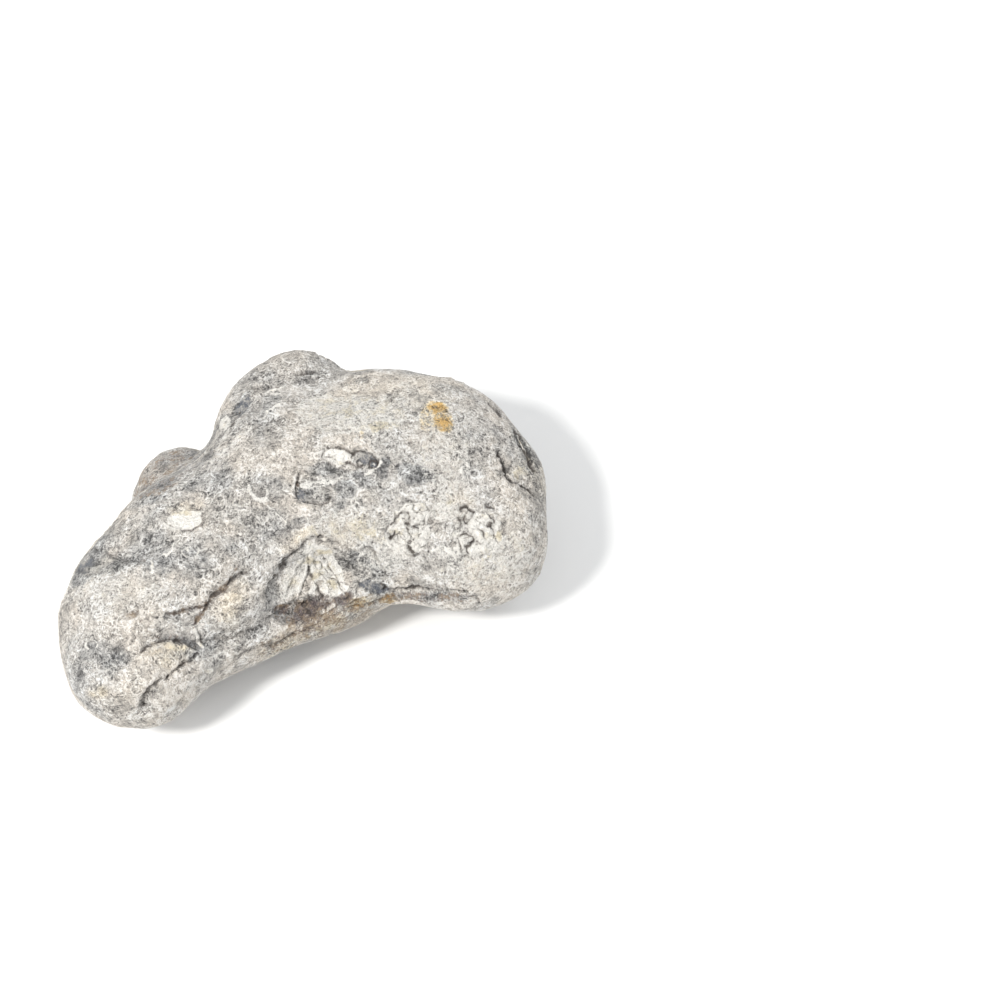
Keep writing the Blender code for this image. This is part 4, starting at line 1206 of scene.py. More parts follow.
class Skin:
    """The nodule's fine skin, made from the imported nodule's own mesh."""

    def __init__(self, source: bpy.types.Object, sizes: SkinSizes) -> None:
        """Remembers what it is made from.

        Args:
            source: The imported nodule, which is only read.
            sizes: How fine and uneven the skin is.
        """
        self.source = source
        self.sizes = sizes

    @staticmethod
    def _arrays(skin: bmesh.types.BMesh) -> tuple[Array, Array, Array]:
        """The points in millimetres, and the edges and triangles as numbers of points."""
        skin.verts.index_update()
        points = np.array([vert.co[:] for vert in skin.verts]) / MM
        edges = np.array([[vert.index for vert in edge.verts] for edge in skin.edges])
        faces = np.array([[vert.index for vert in face.verts] for face in skin.faces])
        return points, edges, faces

    @staticmethod
    def _place(skin: bmesh.types.BMesh, points: Array) -> None:
        """Moves the mesh's points."""
        for vert, place in zip(skin.verts, points * MM):
            vert.co = place

    @staticmethod
    def _relaxed(points: Array, edges: Array, factor: float) -> Array:
        """Points moved a share of the way to their neighbours' mean, or away from it below zero."""
        count = len(points)
        both = np.concatenate([edges, edges[:, ::-1]])
        degree = np.bincount(both[:, 0], minlength=count)
        total = [np.bincount(both[:, 0], points[both[:, 1], axis], count) for axis in range(3)]
        return points + factor * (np.stack(total, axis=1) / degree[:, None] - points)

    @staticmethod
    def _normals(points: Array, faces: Array) -> Array:
        """The unit normal at each point of some triangles."""
        corners = points[faces]
        flat = np.cross(corners[:, 1] - corners[:, 0], corners[:, 2] - corners[:, 0])
        total = np.zeros_like(points)
        for corner in range(3):
            for axis in range(3):
                total[:, axis] += np.bincount(faces[:, corner], flat[:, axis], len(points))
        return total / np.linalg.norm(total, axis=1, keepdims=True)

    def _smoothed(self, points: Array, edges: Array) -> Array:
        """The points, with the facets' corners evened out and the form's size kept."""
        for _ in range(self.sizes.smoothings):
            points = self._relaxed(points, edges, self.sizes.shrink)
            points = self._relaxed(points, edges, -self.sizes.swell_back)
        return points

    def _wander(self, points: Array, seed: int) -> Array:
        """How far marks are nudged one way, by a slow and a fine noise."""
        slow, fine = self.sizes.wander
        nudge = slow[0] * Noise(seed).smooth(points, slow[1])
        return nudge + fine[0] * Noise(seed + 1).smooth(points, fine[1])

    def _marked(self, points: Array, normals: Array) -> Surface:
        """A surface of these points, with every mark made on it."""
        surface = Surface(points, normals)
        uneven = Unevenness(
            waver=Noise(Seed.WAVER).layered(points, self.sizes.waver_size, 2),
            fray=Noise(Seed.FRAY).layered(points, self.sizes.fray_size, 2),
        )
        wander = [self._wander(points, seed) for seed in (Seed.WANDER_RIGHT, Seed.WANDER_UP)]
        for marks in MARK_SETS:
            marks.apply(surface, np.stack(wander, axis=1), uneven)
        return surface

    def _uneven(self, surface: Surface) -> None:
        """Adds the skin's own unevenness: swells, grain, plates, pits and broken places."""
        sizes, points = self.sizes, surface.points
        bend = [Noise(Seed.BEND + axis).smooth(points, sizes.bend[1]) for axis in range(3)]
        bent = points + sizes.bend[0] * np.stack(bend, axis=1)
        surface.lift += sizes.swell[0] * Noise(Seed.SWELL).layered(points, sizes.swell[1], 3)
        surface.lift += sizes.grain[0] * Noise(Seed.GRAIN).layered(points, sizes.grain[1], 2)
        knocked = smoothstep(-0.35, 0.35, Noise(Seed.KNOCKED).smooth(points, sizes.knocked_size))
        plates = Noise(Seed.PLATE).cells(bent, sizes.plate[1])
        surface.lift += sizes.plate[0] * (0.35 + 0.65 * knocked) * plates.tilt

        pits = Noise(Seed.PIT).cells(bent, sizes.pit[1])
        width = sizes.pit_width[0] + sizes.pit_width[1] * ((pits.number * 5.0) % 1.0)
        pit = smoothstep(1.0, 0.1, pits.middle / width) * (pits.number > 0.45)
        surface.lift -= sizes.pit[0] * pit * (0.4 + 0.6 * pits.number)
        # Painted shade and dirt darken the pits.
        surface.paint(Mask.CREVICE, sizes.pit_dirt_and_shade * pit)

        coarse = Noise(Seed.SHARD).cells(bent, sizes.broken[1])
        fine = Noise(Seed.SPLINTER).cells(bent, 0.5 * sizes.broken[1])
        broken = 0.7 * coarse.tilt + 0.55 * (coarse.number - 0.5) + 0.45 * fine.tilt
        surface.lift += sizes.broken[0] * surface.rough * broken
        present = smoothstep(-0.15, 0.25, Noise(Seed.SEAM).smooth(points, sizes.seam[1]))
        seam = smoothstep(sizes.seam_width, 0.0, coarse.edge) * present
        sunk = smoothstep(-0.25, -0.65, broken)
        surface.lift -= sizes.seam[0] * surface.rough * seam
        # Painted shade and dirt darken the seams between shards and the sunk shards.
        surface.paint(Mask.CREVICE, surface.rough * (1.0 * seam + 0.45 * sunk))
        surface.masks[Mask.CHALK] *= 1.0 - 0.7 * surface.rough * sunk
        surface.masks[Mask.CHALK] += 0.3 * surface.rough * smoothstep(0.0, 0.5, broken)

    def _wear_and_shade(self, surface: Surface, moved: Array, edges: Array, faces: Array) -> None:
        """Masks what stands up as worn, and darkens what lies low with painted shade in the crevice mask."""
        level = moved
        for _ in range(self.sizes.wear_and_shade_rounds):
            level = self._relaxed(level, edges, self.sizes.shrink)
        height = ((moved - level) * self._normals(moved, faces)).sum(axis=1)
        surface.masks[Mask.WORN] = smoothstep(0.02, 0.22, height)
        # Painted shade in the low places.
        surface.paint(Mask.CREVICE, 0.6 * smoothstep(-0.04, -0.35, height))

    def _split(self, skin: bmesh.types.BMesh) -> None:
        """Splits the mesh level by level where its marks need it."""
        for level in Level:
            points, _, faces = self._arrays(skin)
            wanted = self._marked(points, self._normals(points, faces)).detail >= level.value
            chosen = [edge for edge in skin.edges if all(wanted[vert.index] for vert in edge.verts)]
            bmesh.ops.subdivide_edges(skin, edges=chosen, cuts=1, use_grid_fill=True)
            bmesh.ops.triangulate(skin, faces=skin.faces)
            if level is Level.SHOWN:
                points, edges, _ = self._arrays(skin)
                self._place(skin, self._smoothed(points, edges))
            LOG.info("skin split to level %d: %d triangles", level.value, len(skin.faces))

    def build(self, name: str) -> bpy.types.Object:
        """Makes the fine skin.

        Args:
            name: The new object's name.

        Returns:
            The object, at the origin, with its masks on its mesh.
        """
        skin = bmesh.new()
        skin.from_mesh(self.source.data)
        skin.transform(self.source.matrix_world)
        bmesh.ops.remove_doubles(skin, verts=skin.verts, dist=self.sizes.merge * MM)
        bmesh.ops.subdivide_edges(skin, edges=skin.edges, cuts=1, use_grid_fill=True)
        points, edges, faces = self._arrays(skin)
        self._place(skin, self._smoothed(points, edges))
        self._split(skin)
        points, edges, faces = self._arrays(skin)
        surface = self._marked(points, self._normals(points, faces))
        self._uneven(surface)
        moved = points + surface.normals * surface.lift[:, None]
        moved[:, 2] = np.maximum(moved[:, 2], 0.0)
        self._wear_and_shade(surface, moved, edges, faces)
        self._place(skin, moved)
        mesh = bpy.data.meshes.new(name)
        skin.to_mesh(mesh)
        skin.free()
        mesh.polygons.foreach_set("use_smooth", np.ones(len(mesh.polygons), bool))
        for mask, values in surface.masks.items():
            layer = mesh.attributes.new(mask.value, "FLOAT", "POINT")
            layer.data.foreach_set("value", np.clip(values, 0.0, MASK_TOP))
        piece = bpy.data.objects.new(name, mesh)
        bpy.context.scene.collection.objects.link(piece)
        return piece


@dataclass(frozen=True)
class Rise:
    """A smooth rise from one value to another.

    Attributes:
        low: Where it starts, which may lie above high.
        high: Where it ends.
        least: What it gives up to low.
        most: What it gives from high on.
    """

    low: float
    high: float
    least: float = 0.0
    most: float = 1.0


class Graph:
    """Adds nodes to one shader tree and links them."""

    # Where a Mix node takes its two colours and gives its result.
    MIX_FIRST, MIX_SECOND, MIX_RESULT = 6, 7, 2
    HALF = (0.5, 0.5, 0.5)

    def __init__(self, tree: bpy.types.NodeTree) -> None:
        """Starts on a tree.

        Args:
            tree: The tree that the nodes go into.
        """
        self.tree = tree

    def node(self, kind: str, **settings: object) -> bpy.types.Node:
        """Adds a node.

        Args:
            kind: Its type, without the ShaderNode prefix.
            **settings: Properties to set on it.

        Returns:
            The node.
        """
        made = self.tree.nodes.new("ShaderNode" + kind)
        for key, value in settings.items():
            setattr(made, key, value)
        return made

    def feed(self, socket: Socket, value: object) -> None:
        """Links a socket to an output, or sets it to a number, a vector or a colour."""
        if isinstance(value, Socket):
            self.tree.links.new(value, socket)
        elif isinstance(value, tuple) and len(value) == 3 and socket.type == "RGBA":
            socket.default_value = (*value, 1.0)
        else:
            socket.default_value = value

    def named(self, made: bpy.types.Node, **values: object) -> bpy.types.Node:
        """Feeds a node's inputs, whose names have _ for spaces, and gives the node."""
        for key, value in values.items():
            self.feed(made.inputs[key.replace("_", " ")], value)
        return made

    def math(self, operation: str, *values: object, clamp: bool = False) -> Socket:
        """A Math node's result, held between 0 and 1 where clamp is set."""
        made = self.node("Math", operation=operation, use_clamp=clamp)
        for socket, value in zip(made.inputs, values):
            self.feed(socket, value)
        return made.outputs["Value"]

    def times(self, first: object, second: object) -> Socket:
        """The product of two values."""
        return self.math("MULTIPLY", first, second)

    def total(self, start: object, *parts: object) -> Socket:
        """The sum of a value and others, which may be pairs of a value and its weight."""
        result = start
        for part in parts:
            result = self.math("ADD", result, self.times(*part) if isinstance(part, tuple) else part)
        return result

    def vector(self, operation: str, *values: object) -> Socket:
        """A Vector Math node's result, a number where the operation gives one."""
        made = self.node("VectorMath", operation=operation)
        for socket, value in zip(made.inputs, values):
            self.feed(socket, value)
        return made.outputs["Value" if operation == "DOT_PRODUCT" else "Vector"]

    def scaled(self, vector: object, scale: object) -> Socket:
        """A vector times a number."""
        made = self.node("VectorMath", operation="SCALE")
        return self.named(made, Vector=vector, Scale=scale).outputs["Vector"]

    def shrunk(self, vector: object, size: object) -> Socket:
        """A vector divided by a number."""
        return self.scaled(vector, self.math("DIVIDE", 1.0, size))

    def rise(self, value: object, rise: Rise) -> Socket:
        """A value put through a smooth rise."""
        made = self.node("MapRange", interpolation_type="SMOOTHSTEP")
        self.named(made, Value=value, From_Min=rise.low, From_Max=rise.high)
        return self.named(made, To_Min=rise.least, To_Max=rise.most).outputs["Result"]

    def mix(self, amount: object, first: object, second: object, blend: str = "MIX") -> Socket:
        """Two colours mixed, by how much of the second there is."""
        made = self.node("Mix", data_type="RGBA", blend_type=blend)
        self.feed(made.inputs["Factor"], amount)
        self.feed(made.inputs[self.MIX_FIRST], first)
        self.feed(made.inputs[self.MIX_SECOND], second)
        return made.outputs[self.MIX_RESULT]

    def tinted(self, amount: object, colour: object, tint: object) -> Socket:
        """A colour, part of it multiplied by a tint."""
        return self.mix(amount, colour, self.mix(1.0, colour, tint, "MULTIPLY"))

    def ramp(self, value: object, stops: tuple[tuple[float, Colour], ...]) -> Socket:
        """The colour at a value, between stops given as (value, colour)."""
        made = self.named(self.node("ValToRGB"), Fac=value)
        elements = made.color_ramp.elements
        while len(elements) < len(stops):
            elements.new(0.5)
        for element, (place, colour) in zip(elements, stops):
            element.position = place
            element.color = (*colour, 1.0)
        return made.outputs["Color"]

    def noise(self, vector: object, scale: object, **settings: float) -> Socket:
        """A noise texture's value, 0 to 1, at a scale in waves a millimetre."""
        made = self.named(self.node("TexNoise"), Vector=vector, Scale=scale)
        return self.named(made, **settings).outputs["Fac"]

    def nudged(self, place: Socket, scale: float, reach: float) -> Socket:
        """A place moved about by noise, so that what is read there has no straight edges."""
        bend = self.named(self.node("TexNoise"), Vector=place, Scale=scale, Detail=1.0)
        away = self.vector("SUBTRACT", bend.outputs["Color"], self.HALF)
        return self.vector("ADD", place, self.scaled(away, reach))

    def cells(self, place: Socket) -> Sockets:
        """What is known of the scattered centre nearest to a place, one centre to a unit."""
        made = self.node("TexVoronoi", voronoi_dimensions="3D", feature="F1")
        return self.named(made, Vector=place, Scale=1.0).outputs

    def chances(self, cells: Sockets) -> Sockets:
        """The three random numbers of a scattered centre, as Red, Green and Blue."""
        return self.named(self.node("SeparateColor"), Color=cells["Color"]).outputs

    def mask(self, mask: Mask) -> Socket:
        """One of the skin's masks."""
        return self.node("Attribute", attribute_name=mask.value).outputs["Fac"]

    def effect(self, effect: "Effect", **values: object) -> Sockets:
        """The outputs of an effect's node group, whose inputs are fed these values."""
        return self.named(self.node("Group", node_tree=effect.tree()), **values).outputs


class Effect:
    """A shader node group that reads a Vector in millimetres and a few numbers.

    NAME is the group's name, INPUTS are its numbers with their usual values, and OUTPUTS are the
    names of its results.
    """

    NAME = "effect"
    INPUTS: dict[str, float] = {}
    OUTPUTS: tuple[str, ...] = ("Mask",)

    def tree(self) -> bpy.types.NodeTree:
        """The group's tree, made on first use."""
        found = bpy.data.node_groups.get(self.NAME)
        if found:
            return found
        tree = bpy.data.node_groups.new(self.NAME, "ShaderNodeTree")
        tree.interface.new_socket("Vector", in_out="INPUT", socket_type="NodeSocketVector")
        for name, value in self.INPUTS.items():
            socket = tree.interface.new_socket(name, in_out="INPUT", socket_type="NodeSocketFloat")
            socket.default_value = value
        for name in self.OUTPUTS:
            tree.interface.new_socket(name, in_out="OUTPUT", socket_type="NodeSocketFloat")
        given = tree.nodes.new("NodeGroupInput")
        result = tree.nodes.new("NodeGroupOutput")
        for name, value in zip(self.OUTPUTS, self.make(Graph(tree), given.outputs)):
            tree.links.new(value, result.inputs[name])
        return tree

    def make(self, graph: Graph, given: Sockets) -> tuple[Socket, ...]:
        """Builds the effect.

        Args:
            graph: What adds its nodes.
            given: The group's inputs, by name.

        Returns:
            The results, in the order of OUTPUTS.
        """
        raise NotImplementedError


class KnockMarks(Effect):
    """Small crescents and rings where pebbles knocked the stone, each turned its own way."""

    NAME = "knock_marks"
    INPUTS = {"Spacing": 3.0, "Width": 0.12, "Presence": 0.6, "Openness": 0.0}
    OUTPUTS = ("Rim", "Ditch")

    # How much larger a ring may be than the smallest, and the smallest, against the spacing.
    RADIUS = (0.22, 0.22)
    RIM = Rise(1.0, 0.15)
    DITCH = Rise(1.1, 0.2)
    # How many widths inside the rim the ditch lies.
    INSET = 1.5
    ARC = Rise(-0.12, 0.22)

    def make(self, graph: Graph, given: Sockets) -> tuple[Socket, ...]:
        """Cuts a thin shell round each scattered centre to an arc."""
        place = graph.shrunk(given["Vector"], given["Spacing"])
        cells = graph.cells(place)
        chance = graph.chances(cells)
        radius = graph.math("MULTIPLY_ADD", chance["Red"], *self.RADIUS)
        gap = graph.math("ABSOLUTE", graph.math("SUBTRACT", cells["Distance"], radius))
        rim = graph.rise(graph.math("DIVIDE", gap, given["Width"]), self.RIM)
        inside = graph.math("SUBTRACT", radius, cells["Distance"])
        inner = graph.math("ABSOLUTE", graph.math("MULTIPLY_ADD", given["Width"], -self.INSET, inside))
        ditch = graph.rise(graph.math("DIVIDE", inner, given["Width"]), self.DITCH)
        spoke = graph.vector("NORMALIZE", graph.vector("SUBTRACT", place, cells["Position"]))
        turn = graph.vector("NORMALIZE", graph.vector("SUBTRACT", cells["Color"], graph.HALF))
        along = graph.vector("DOT_PRODUCT", spoke, turn)
        arc = graph.rise(graph.math("SUBTRACT", along, given["Openness"]), self.ARC)
        there = graph.times(arc, graph.math("LESS_THAN", chance["Green"], given["Presence"]))
        return graph.times(rim, there), graph.times(ditch, there)


class HairMarks(Effect):
    """Short fine curls that lie side by side, like bruised scratches."""

    NAME = "hair_marks"
    INPUTS = {"Scale": 0.6, "Curls": 8.0, "Width": 0.2, "Break": 0.5}

    THREAD = Rise(1.0, 0.35)
    PRESENT = Rise(-0.02, 0.05)
    # How much finer than the curls their breaks are.
    BREAKS = 1.5

    def make(self, graph: Graph, given: Sockets) -> tuple[Socket, ...]:
        """Breaks the level lines of noise into short lengths."""
        place, scale = given["Vector"], given["Scale"]
        noise = graph.noise(place, scale, Detail=1.0, Roughness=0.4, Distortion=0.8)
        gap = graph.math("PINGPONG", graph.times(noise, given["Curls"]), 0.5)
        thread = graph.rise(graph.math("DIVIDE", gap, given["Width"]), self.THREAD)
        breaks = graph.noise(place, graph.times(scale, self.BREAKS), Detail=1.0)
        present = graph.rise(graph.math("SUBTRACT", breaks, given["Break"]), self.PRESENT)
        return (graph.times(thread, present),)


class PlateHeights(Effect):
    """The height of small knocked plates, each tilted its own way."""

    NAME = "plates"
    INPUTS = {"Size": 2.0}
    OUTPUTS = ("Height",)

    # How steep a plate is.
    SLOPE = 2.0

    def make(self, graph: Graph, given: Sockets) -> tuple[Socket, ...]:
        """Finds how far each place lies along its plate's slope."""
        place = graph.shrunk(given["Vector"], given["Size"])
        cells = graph.cells(place)
        slope = graph.vector("SUBTRACT", cells["Color"], graph.HALF)
        away = graph.vector("SUBTRACT", place, cells["Position"])
        return (graph.times(graph.vector("DOT_PRODUCT", away, slope), self.SLOPE),)


class FacetTones(Effect):
    """How light each small knocked facet is."""

    NAME = "facet_tones"
    INPUTS = {"Size": 3.0}
    OUTPUTS = ("Tone",)

    def make(self, graph: Graph, given: Sockets) -> tuple[Socket, ...]:
        """Picks one number about zero for each facet."""
        chance = graph.chances(graph.cells(graph.shrunk(given["Vector"], given["Size"])))
        return (graph.math("SUBTRACT", chance["Blue"], 0.5),)


class Strokes(Effect):
    """Short straight bruises that lie side by side, turned another way from patch to patch."""

    NAME = "strokes"
    INPUTS = {"Patch": 5.0, "Length": 3.0, "Width": 0.5, "Cover": 0.5}

    # How many waves a millimetre the patches' edges have, and how far they go.
    EDGE = (0.35, 3.0)
    FINENESS = 0.5
    # The noise that the strokes start at where they cover all, and how much more where none.
    FLOOR = 0.3
    SWING = 0.4
    STROKE = Rise(-0.03, 0.10)

    def make(self, graph: Graph, given: Sockets) -> tuple[Socket, ...]:
        """Draws noise out along each patch's own direction."""
        place = graph.nudged(given["Vector"], *self.EDGE)
        cells = graph.cells(graph.shrunk(place, given["Patch"]))
        turned = graph.node("VectorRotate", rotation_type="EULER_XYZ")
        graph.named(turned, Vector=place, Rotation=graph.scaled(cells["Color"], math.tau))
        stretch = graph.node("CombineXYZ")
        for axis, side in (("X", "Length"), ("Y", "Width"), ("Z", "Width")):
            graph.feed(stretch.inputs[axis], graph.math("DIVIDE", 1.0, given[side]))
        drawn = graph.vector("MULTIPLY", turned.outputs["Vector"], stretch.outputs["Vector"])
        noise = graph.noise(drawn, self.FINENESS, Detail=1.0)
        bare = graph.math("SUBTRACT", 1.0, given["Cover"])
        start = graph.math("MULTIPLY_ADD", bare, self.SWING, self.FLOOR)
        return (graph.rise(graph.math("SUBTRACT", noise, start), self.STROKE),)


class Specks(Effect):
    """Tiny scattered dots of uneven size."""

    NAME = "specks"
    INPUTS = {"Spacing": 1.0, "Presence": 0.5}

    # How much larger a dot may be than the smallest, and the smallest, against the spacing.
    RADIUS = (0.22, 0.18)
    DOT = Rise(1.0, 0.5)

    def make(self, graph: Graph, given: Sockets) -> tuple[Socket, ...]:
        """Puts a dot round each scattered centre that is kept."""
        cells = graph.cells(graph.shrunk(given["Vector"], given["Spacing"]))
        chance = graph.chances(cells)
        radius = graph.math("MULTIPLY_ADD", chance["Red"], *self.RADIUS)
        dot = graph.rise(graph.math("DIVIDE", cells["Distance"], radius), self.DOT)
        return (graph.times(dot, graph.math("LESS_THAN", chance["Green"], given["Presence"])),)


class Patterns:
    """The patterns that the cortex's colours and relief share."""

    # How many waves a millimetre each noise has, and how much finer detail.
    BROAD, MOTTLE, FLECK, GRAIN = (0.05, 2.0), (0.22, 3.0), (0.85, 3.0), (2.4, 2.0)
    CHIP = Rise(-0.05, 0.05, -0.5, 0.5)
    # How many waves a millimetre the thick and thin areas of bruising have.
    THICK_SCALE = 0.13
    THICK = Rise(0.32, 0.60, 0.4, 1.0)
    # How many waves a millimetre the plates' edges have, and how far they go.
    PLATE_EDGE = (0.5, 3.5)
    # What keeps layers of the same pattern apart.
    OTHER, THIRD = (31.0, 7.0, 13.0), (5.0, 67.0, 29.0)
    SCORED, DOTTED = (57.0, 19.0, 83.0), (3.0, 41.0, 9.0)

    def __init__(self, graph: Graph) -> None:
        """Makes them.

        Args:
            graph: What adds their nodes.
        """
        self.graph = graph
        self.place = graph.scaled(graph.node("TexCoord").outputs["Object"], 1.0 / MM)
        self.grey = graph.mask(Mask.GREY)
        self.broad = self._noise(*self.BROAD)
        self.mottle = self._noise(*self.MOTTLE)
        self.fleck = self._noise(*self.FLECK)
        self.grain = self._noise(*self.GRAIN)
        self.chip = graph.rise(graph.total(self.fleck, (self.grain, 0.8)), self.CHIP)
        self.ragged = graph.total(graph.times(self.fleck, 1.6), (self.grain, 0.8))
        self.bruise, self.ditches = self._bruise()
        scored = dict(Vector=self._apart(self.SCORED), Break=0.5)
        self.score = graph.effect(HairMarks(), Scale=0.26, Curls=5.0, Width=0.13, **scored)["Mask"]
        self.scratch = graph.effect(HairMarks(), Scale=0.42, Curls=4.5, Width=0.15, **scored)["Mask"]
        large = graph.effect(Specks(), Vector=self.place, Spacing=1.9, Presence=0.2)
        small = graph.effect(Specks(), Vector=self._apart(self.DOTTED), Spacing=1.1, Presence=0.2)
        self.dots = graph.math("MAXIMUM", large["Mask"], small["Mask"])
        bent = graph.nudged(self.place, *self.PLATE_EDGE)
        plates = [graph.effect(PlateHeights(), Vector=bent, Size=size)["Height"] for size in (2.6, 1.2)]
        self.plates = graph.total(graph.times(plates[0], 0.45), (plates[1], 0.25))
        self.facets = graph.effect(FacetTones(), Vector=bent, Size=3.4)["Tone"]

    def _noise(self, scale: float, detail: float) -> Socket:
        """Noise about zero."""
        noise = self.graph.noise(self.place, scale, Detail=detail, Roughness=0.6)
        return self.graph.math("SUBTRACT", noise, 0.5)

    def _apart(self, shift: Point3) -> Socket:
        """The place, moved so that the same pattern doesn't fall on itself."""
        return self.graph.vector("ADD", self.place, shift)

    def _bruise(self) -> tuple[Socket, Socket]:
        """Everything knocked or scratched white, and the ditches inside the knock marks."""
        graph, place = self.graph, self.place
        knocks, hairs, strokes = KnockMarks(), HairMarks(), Strokes()
        other, third = self._apart(self.OTHER), self._apart(self.THIRD)
        rings = [
            graph.effect(knocks, Vector=third, Spacing=7.5, Width=0.055, Presence=0.8, Openness=0.1),
            graph.effect(knocks, Vector=place, Spacing=4.2, Width=0.09, Presence=0.75, Openness=0.15),
            graph.effect(knocks, Vector=other, Spacing=2.6, Width=0.13, Presence=0.7, Openness=0.25),
        ]
        marks = [
            graph.effect(hairs, Vector=place, Scale=0.20, Curls=7.0, Width=0.17, Break=0.52),
            graph.effect(hairs, Vector=other, Scale=0.38, Curls=4.5, Width=0.19, Break=0.50),
            graph.effect(strokes, Vector=place, Patch=4.5, Length=4.0, Width=0.40, Cover=0.42),
            graph.effect(strokes, Vector=other, Patch=7.0, Length=7.0, Width=0.45, Cover=0.36),
        ]
        white, ditch = rings[0]["Rim"], rings[0]["Ditch"]
        for ring in rings[1:]:
            white = graph.math("MAXIMUM", white, ring["Rim"])
            ditch = graph.math("MAXIMUM", ditch, ring["Ditch"])
        for mark in marks:
            white = graph.math("MAXIMUM", white, mark["Mask"])
        thick = graph.rise(graph.noise(place, self.THICK_SCALE), self.THICK)
        return graph.times(white, thick), graph.times(ditch, thick)


@dataclass(frozen=True)
class CortexFinish:
    """The worn cortex of the flint and what shows through it. Colours are linear.

    Attributes:
        tones: The stone's own colours from bare flint to bruised white, as (tone, colour).
        hues: What tints it here and there.
        cool: What tints bruised and thin cortex.
        warm: What tints it where it took up ochre.
        slate: Smooth bare flint.
        chalk: White chalk.
        cream: Chalk that has taken up some ochre.
        rust: What a thick iron stain lets through.
        tan: What a thin iron stain lets through.
        soil: Dark soil in the hollows, which also colours the painted shadow on a few patches.
        earth_and_shade: Lighter, browner soil, which the painted shadow shows too.
        grime_and_shade: What thin dirt and painted shade in cracks let through.
        crevice: The dirt and painted shade deepest in cracks.
        base: How light the stone is before its patterns, on the way from bare flint to white.
        ior: How strongly the bare flint shines.
        matt: Its roughness, from bare flint to bruised white.
        chalk_matt: How much rougher chalk is.
    """

    tones: tuple[tuple[float, Colour], ...] = (
        (0.0, (0.074, 0.070, 0.066)),
        (0.20, (0.198, 0.189, 0.178)),
        (0.42, (0.383, 0.364, 0.338)),
        (0.65, (0.590, 0.555, 0.510)),
        (0.86, (0.760, 0.730, 0.682)),
        (1.0, (0.870, 0.850, 0.815)),
    )
    hues: tuple[Colour, Colour] = ((0.984, 0.986, 0.997), (1.022, 0.986, 0.952))
    cool: Colour = (0.950, 0.992, 1.040)
    warm: Colour = (1.02, 0.96, 0.83)
    slate: Colour = (0.175, 0.192, 0.228)
    chalk: Colour = (0.90, 0.875, 0.825)
    cream: Colour = (0.76, 0.69, 0.54)
    rust: Colour = (0.92, 0.72, 0.42)
    tan: Colour = (1.0, 0.86, 0.60)
    soil: Colour = (0.150, 0.118, 0.118)
    earth_and_shade: Colour = (0.30, 0.225, 0.155)
    grime_and_shade: Colour = (0.44, 0.42, 0.41)
    crevice: Colour = (0.108, 0.092, 0.080)
    base: float = 0.56
    ior: float = 1.5
    matt: Rise = Rise(0.15, 0.6, 0.52, 0.84)
    chalk_matt: float = 0.12

    # How much of the whole each covering takes where it is thickest.
    WARM_COVER, CHALK_COVER, SOIL_COVER = 0.8, 0.92, 0.88
    # Which of the tones shows on thin chalk and on the lighter bare flint.
    MIDDLE_TONE = 2

    def _tone(self, on: Patterns) -> Socket:
        """How light the stone is, 0 to 1."""
        graph, grey = on.graph, on.grey
        return graph.total(
            self.base,
            (on.broad, 0.35),
            (on.mottle, 1.0),
            (on.fleck, 0.40),
            (on.grain, 0.36),
            (on.chip, 0.07),
            (on.bruise, 0.41),
            (on.score, -0.30),
            # Painted shade darkens the ditches inside the knock marks.
            (on.ditches, -0.28),
            (on.scratch, -0.24),
            (on.dots, -0.20),
            (on.facets, graph.math("MULTIPLY_ADD", grey, 0.22, 0.12)),
            (grey, -0.33),
            (graph.mask(Mask.WORN), 0.12),
        )

    def _stone(self, on: Patterns, tone: Socket, warm: Socket) -> Socket:
        """The colour of the cortex and the bare flint, with the ochre it took up."""
        graph, grey = on.graph, on.grey
        colour = graph.ramp(tone, self.tones)
        hue = graph.mix(graph.rise(on.broad, Rise(-0.10, 0.10)), *self.hues)
        colour = graph.mix(1.0, colour, hue, "MULTIPLY")
        thin = graph.rise(grey, Rise(0.1, 1.0, 0.0, 0.8))
        bluish = graph.total(graph.times(on.bruise, 0.45), thin)
        colour = graph.tinted(bluish, colour, self.cool)
        lighter = self.tones[self.MIDDLE_TONE][1]
        smooth = graph.mix(graph.rise(tone, Rise(0.0, 0.6)), self.slate, lighter)
        colour = graph.mix(graph.rise(grey, Rise(1.25, 1.6, 0.0, 0.8)), colour, smooth)
        return graph.tinted(graph.math("MULTIPLY", warm, self.WARM_COVER, clamp=True), colour, self.warm)

    def _chalked(self, on: Patterns, colour: Socket, chalk: Socket, warm: Socket) -> Socket:
        """A colour with chalk on it, which the ochre stains."""
        graph = on.graph
        stained = graph.rise(graph.total(on.mottle, (warm, 0.4)), Rise(0.04, 0.30))
        white = graph.mix(stained, self.chalk, self.cream)
        thin = graph.rise(graph.total(on.fleck, on.grain), Rise(0.05, 0.25, 0.0, 0.25))
        white = graph.mix(thin, white, self.tones[self.MIDDLE_TONE][1])
        return graph.mix(graph.times(chalk, self.CHALK_COVER), colour, white)

    def _soiled_and_shaded(self, on: Patterns, colour: Socket) -> Socket:
        """A colour with soil on it, which on a few patches is painted shadow."""
        graph = on.graph
        soil = graph.mask(Mask.SOIL)
        uneven = graph.total(graph.times(on.fleck, 1.3), (on.mottle, 1.2))
        earthy_and_shaded = graph.times(uneven, graph.rise(soil, Rise(0.0, 0.3, 0.0, 1.9)))
        cover = graph.rise(graph.total(soil, earthy_and_shaded), Rise(0.15, 1.05))
        lighter = graph.rise(graph.total(on.mottle, on.grain), Rise(-0.08, 0.12))
        ground = graph.mix(lighter, self.soil, self.earth_and_shade)
        return graph.mix(graph.times(cover, self.SOIL_COVER), colour, ground)

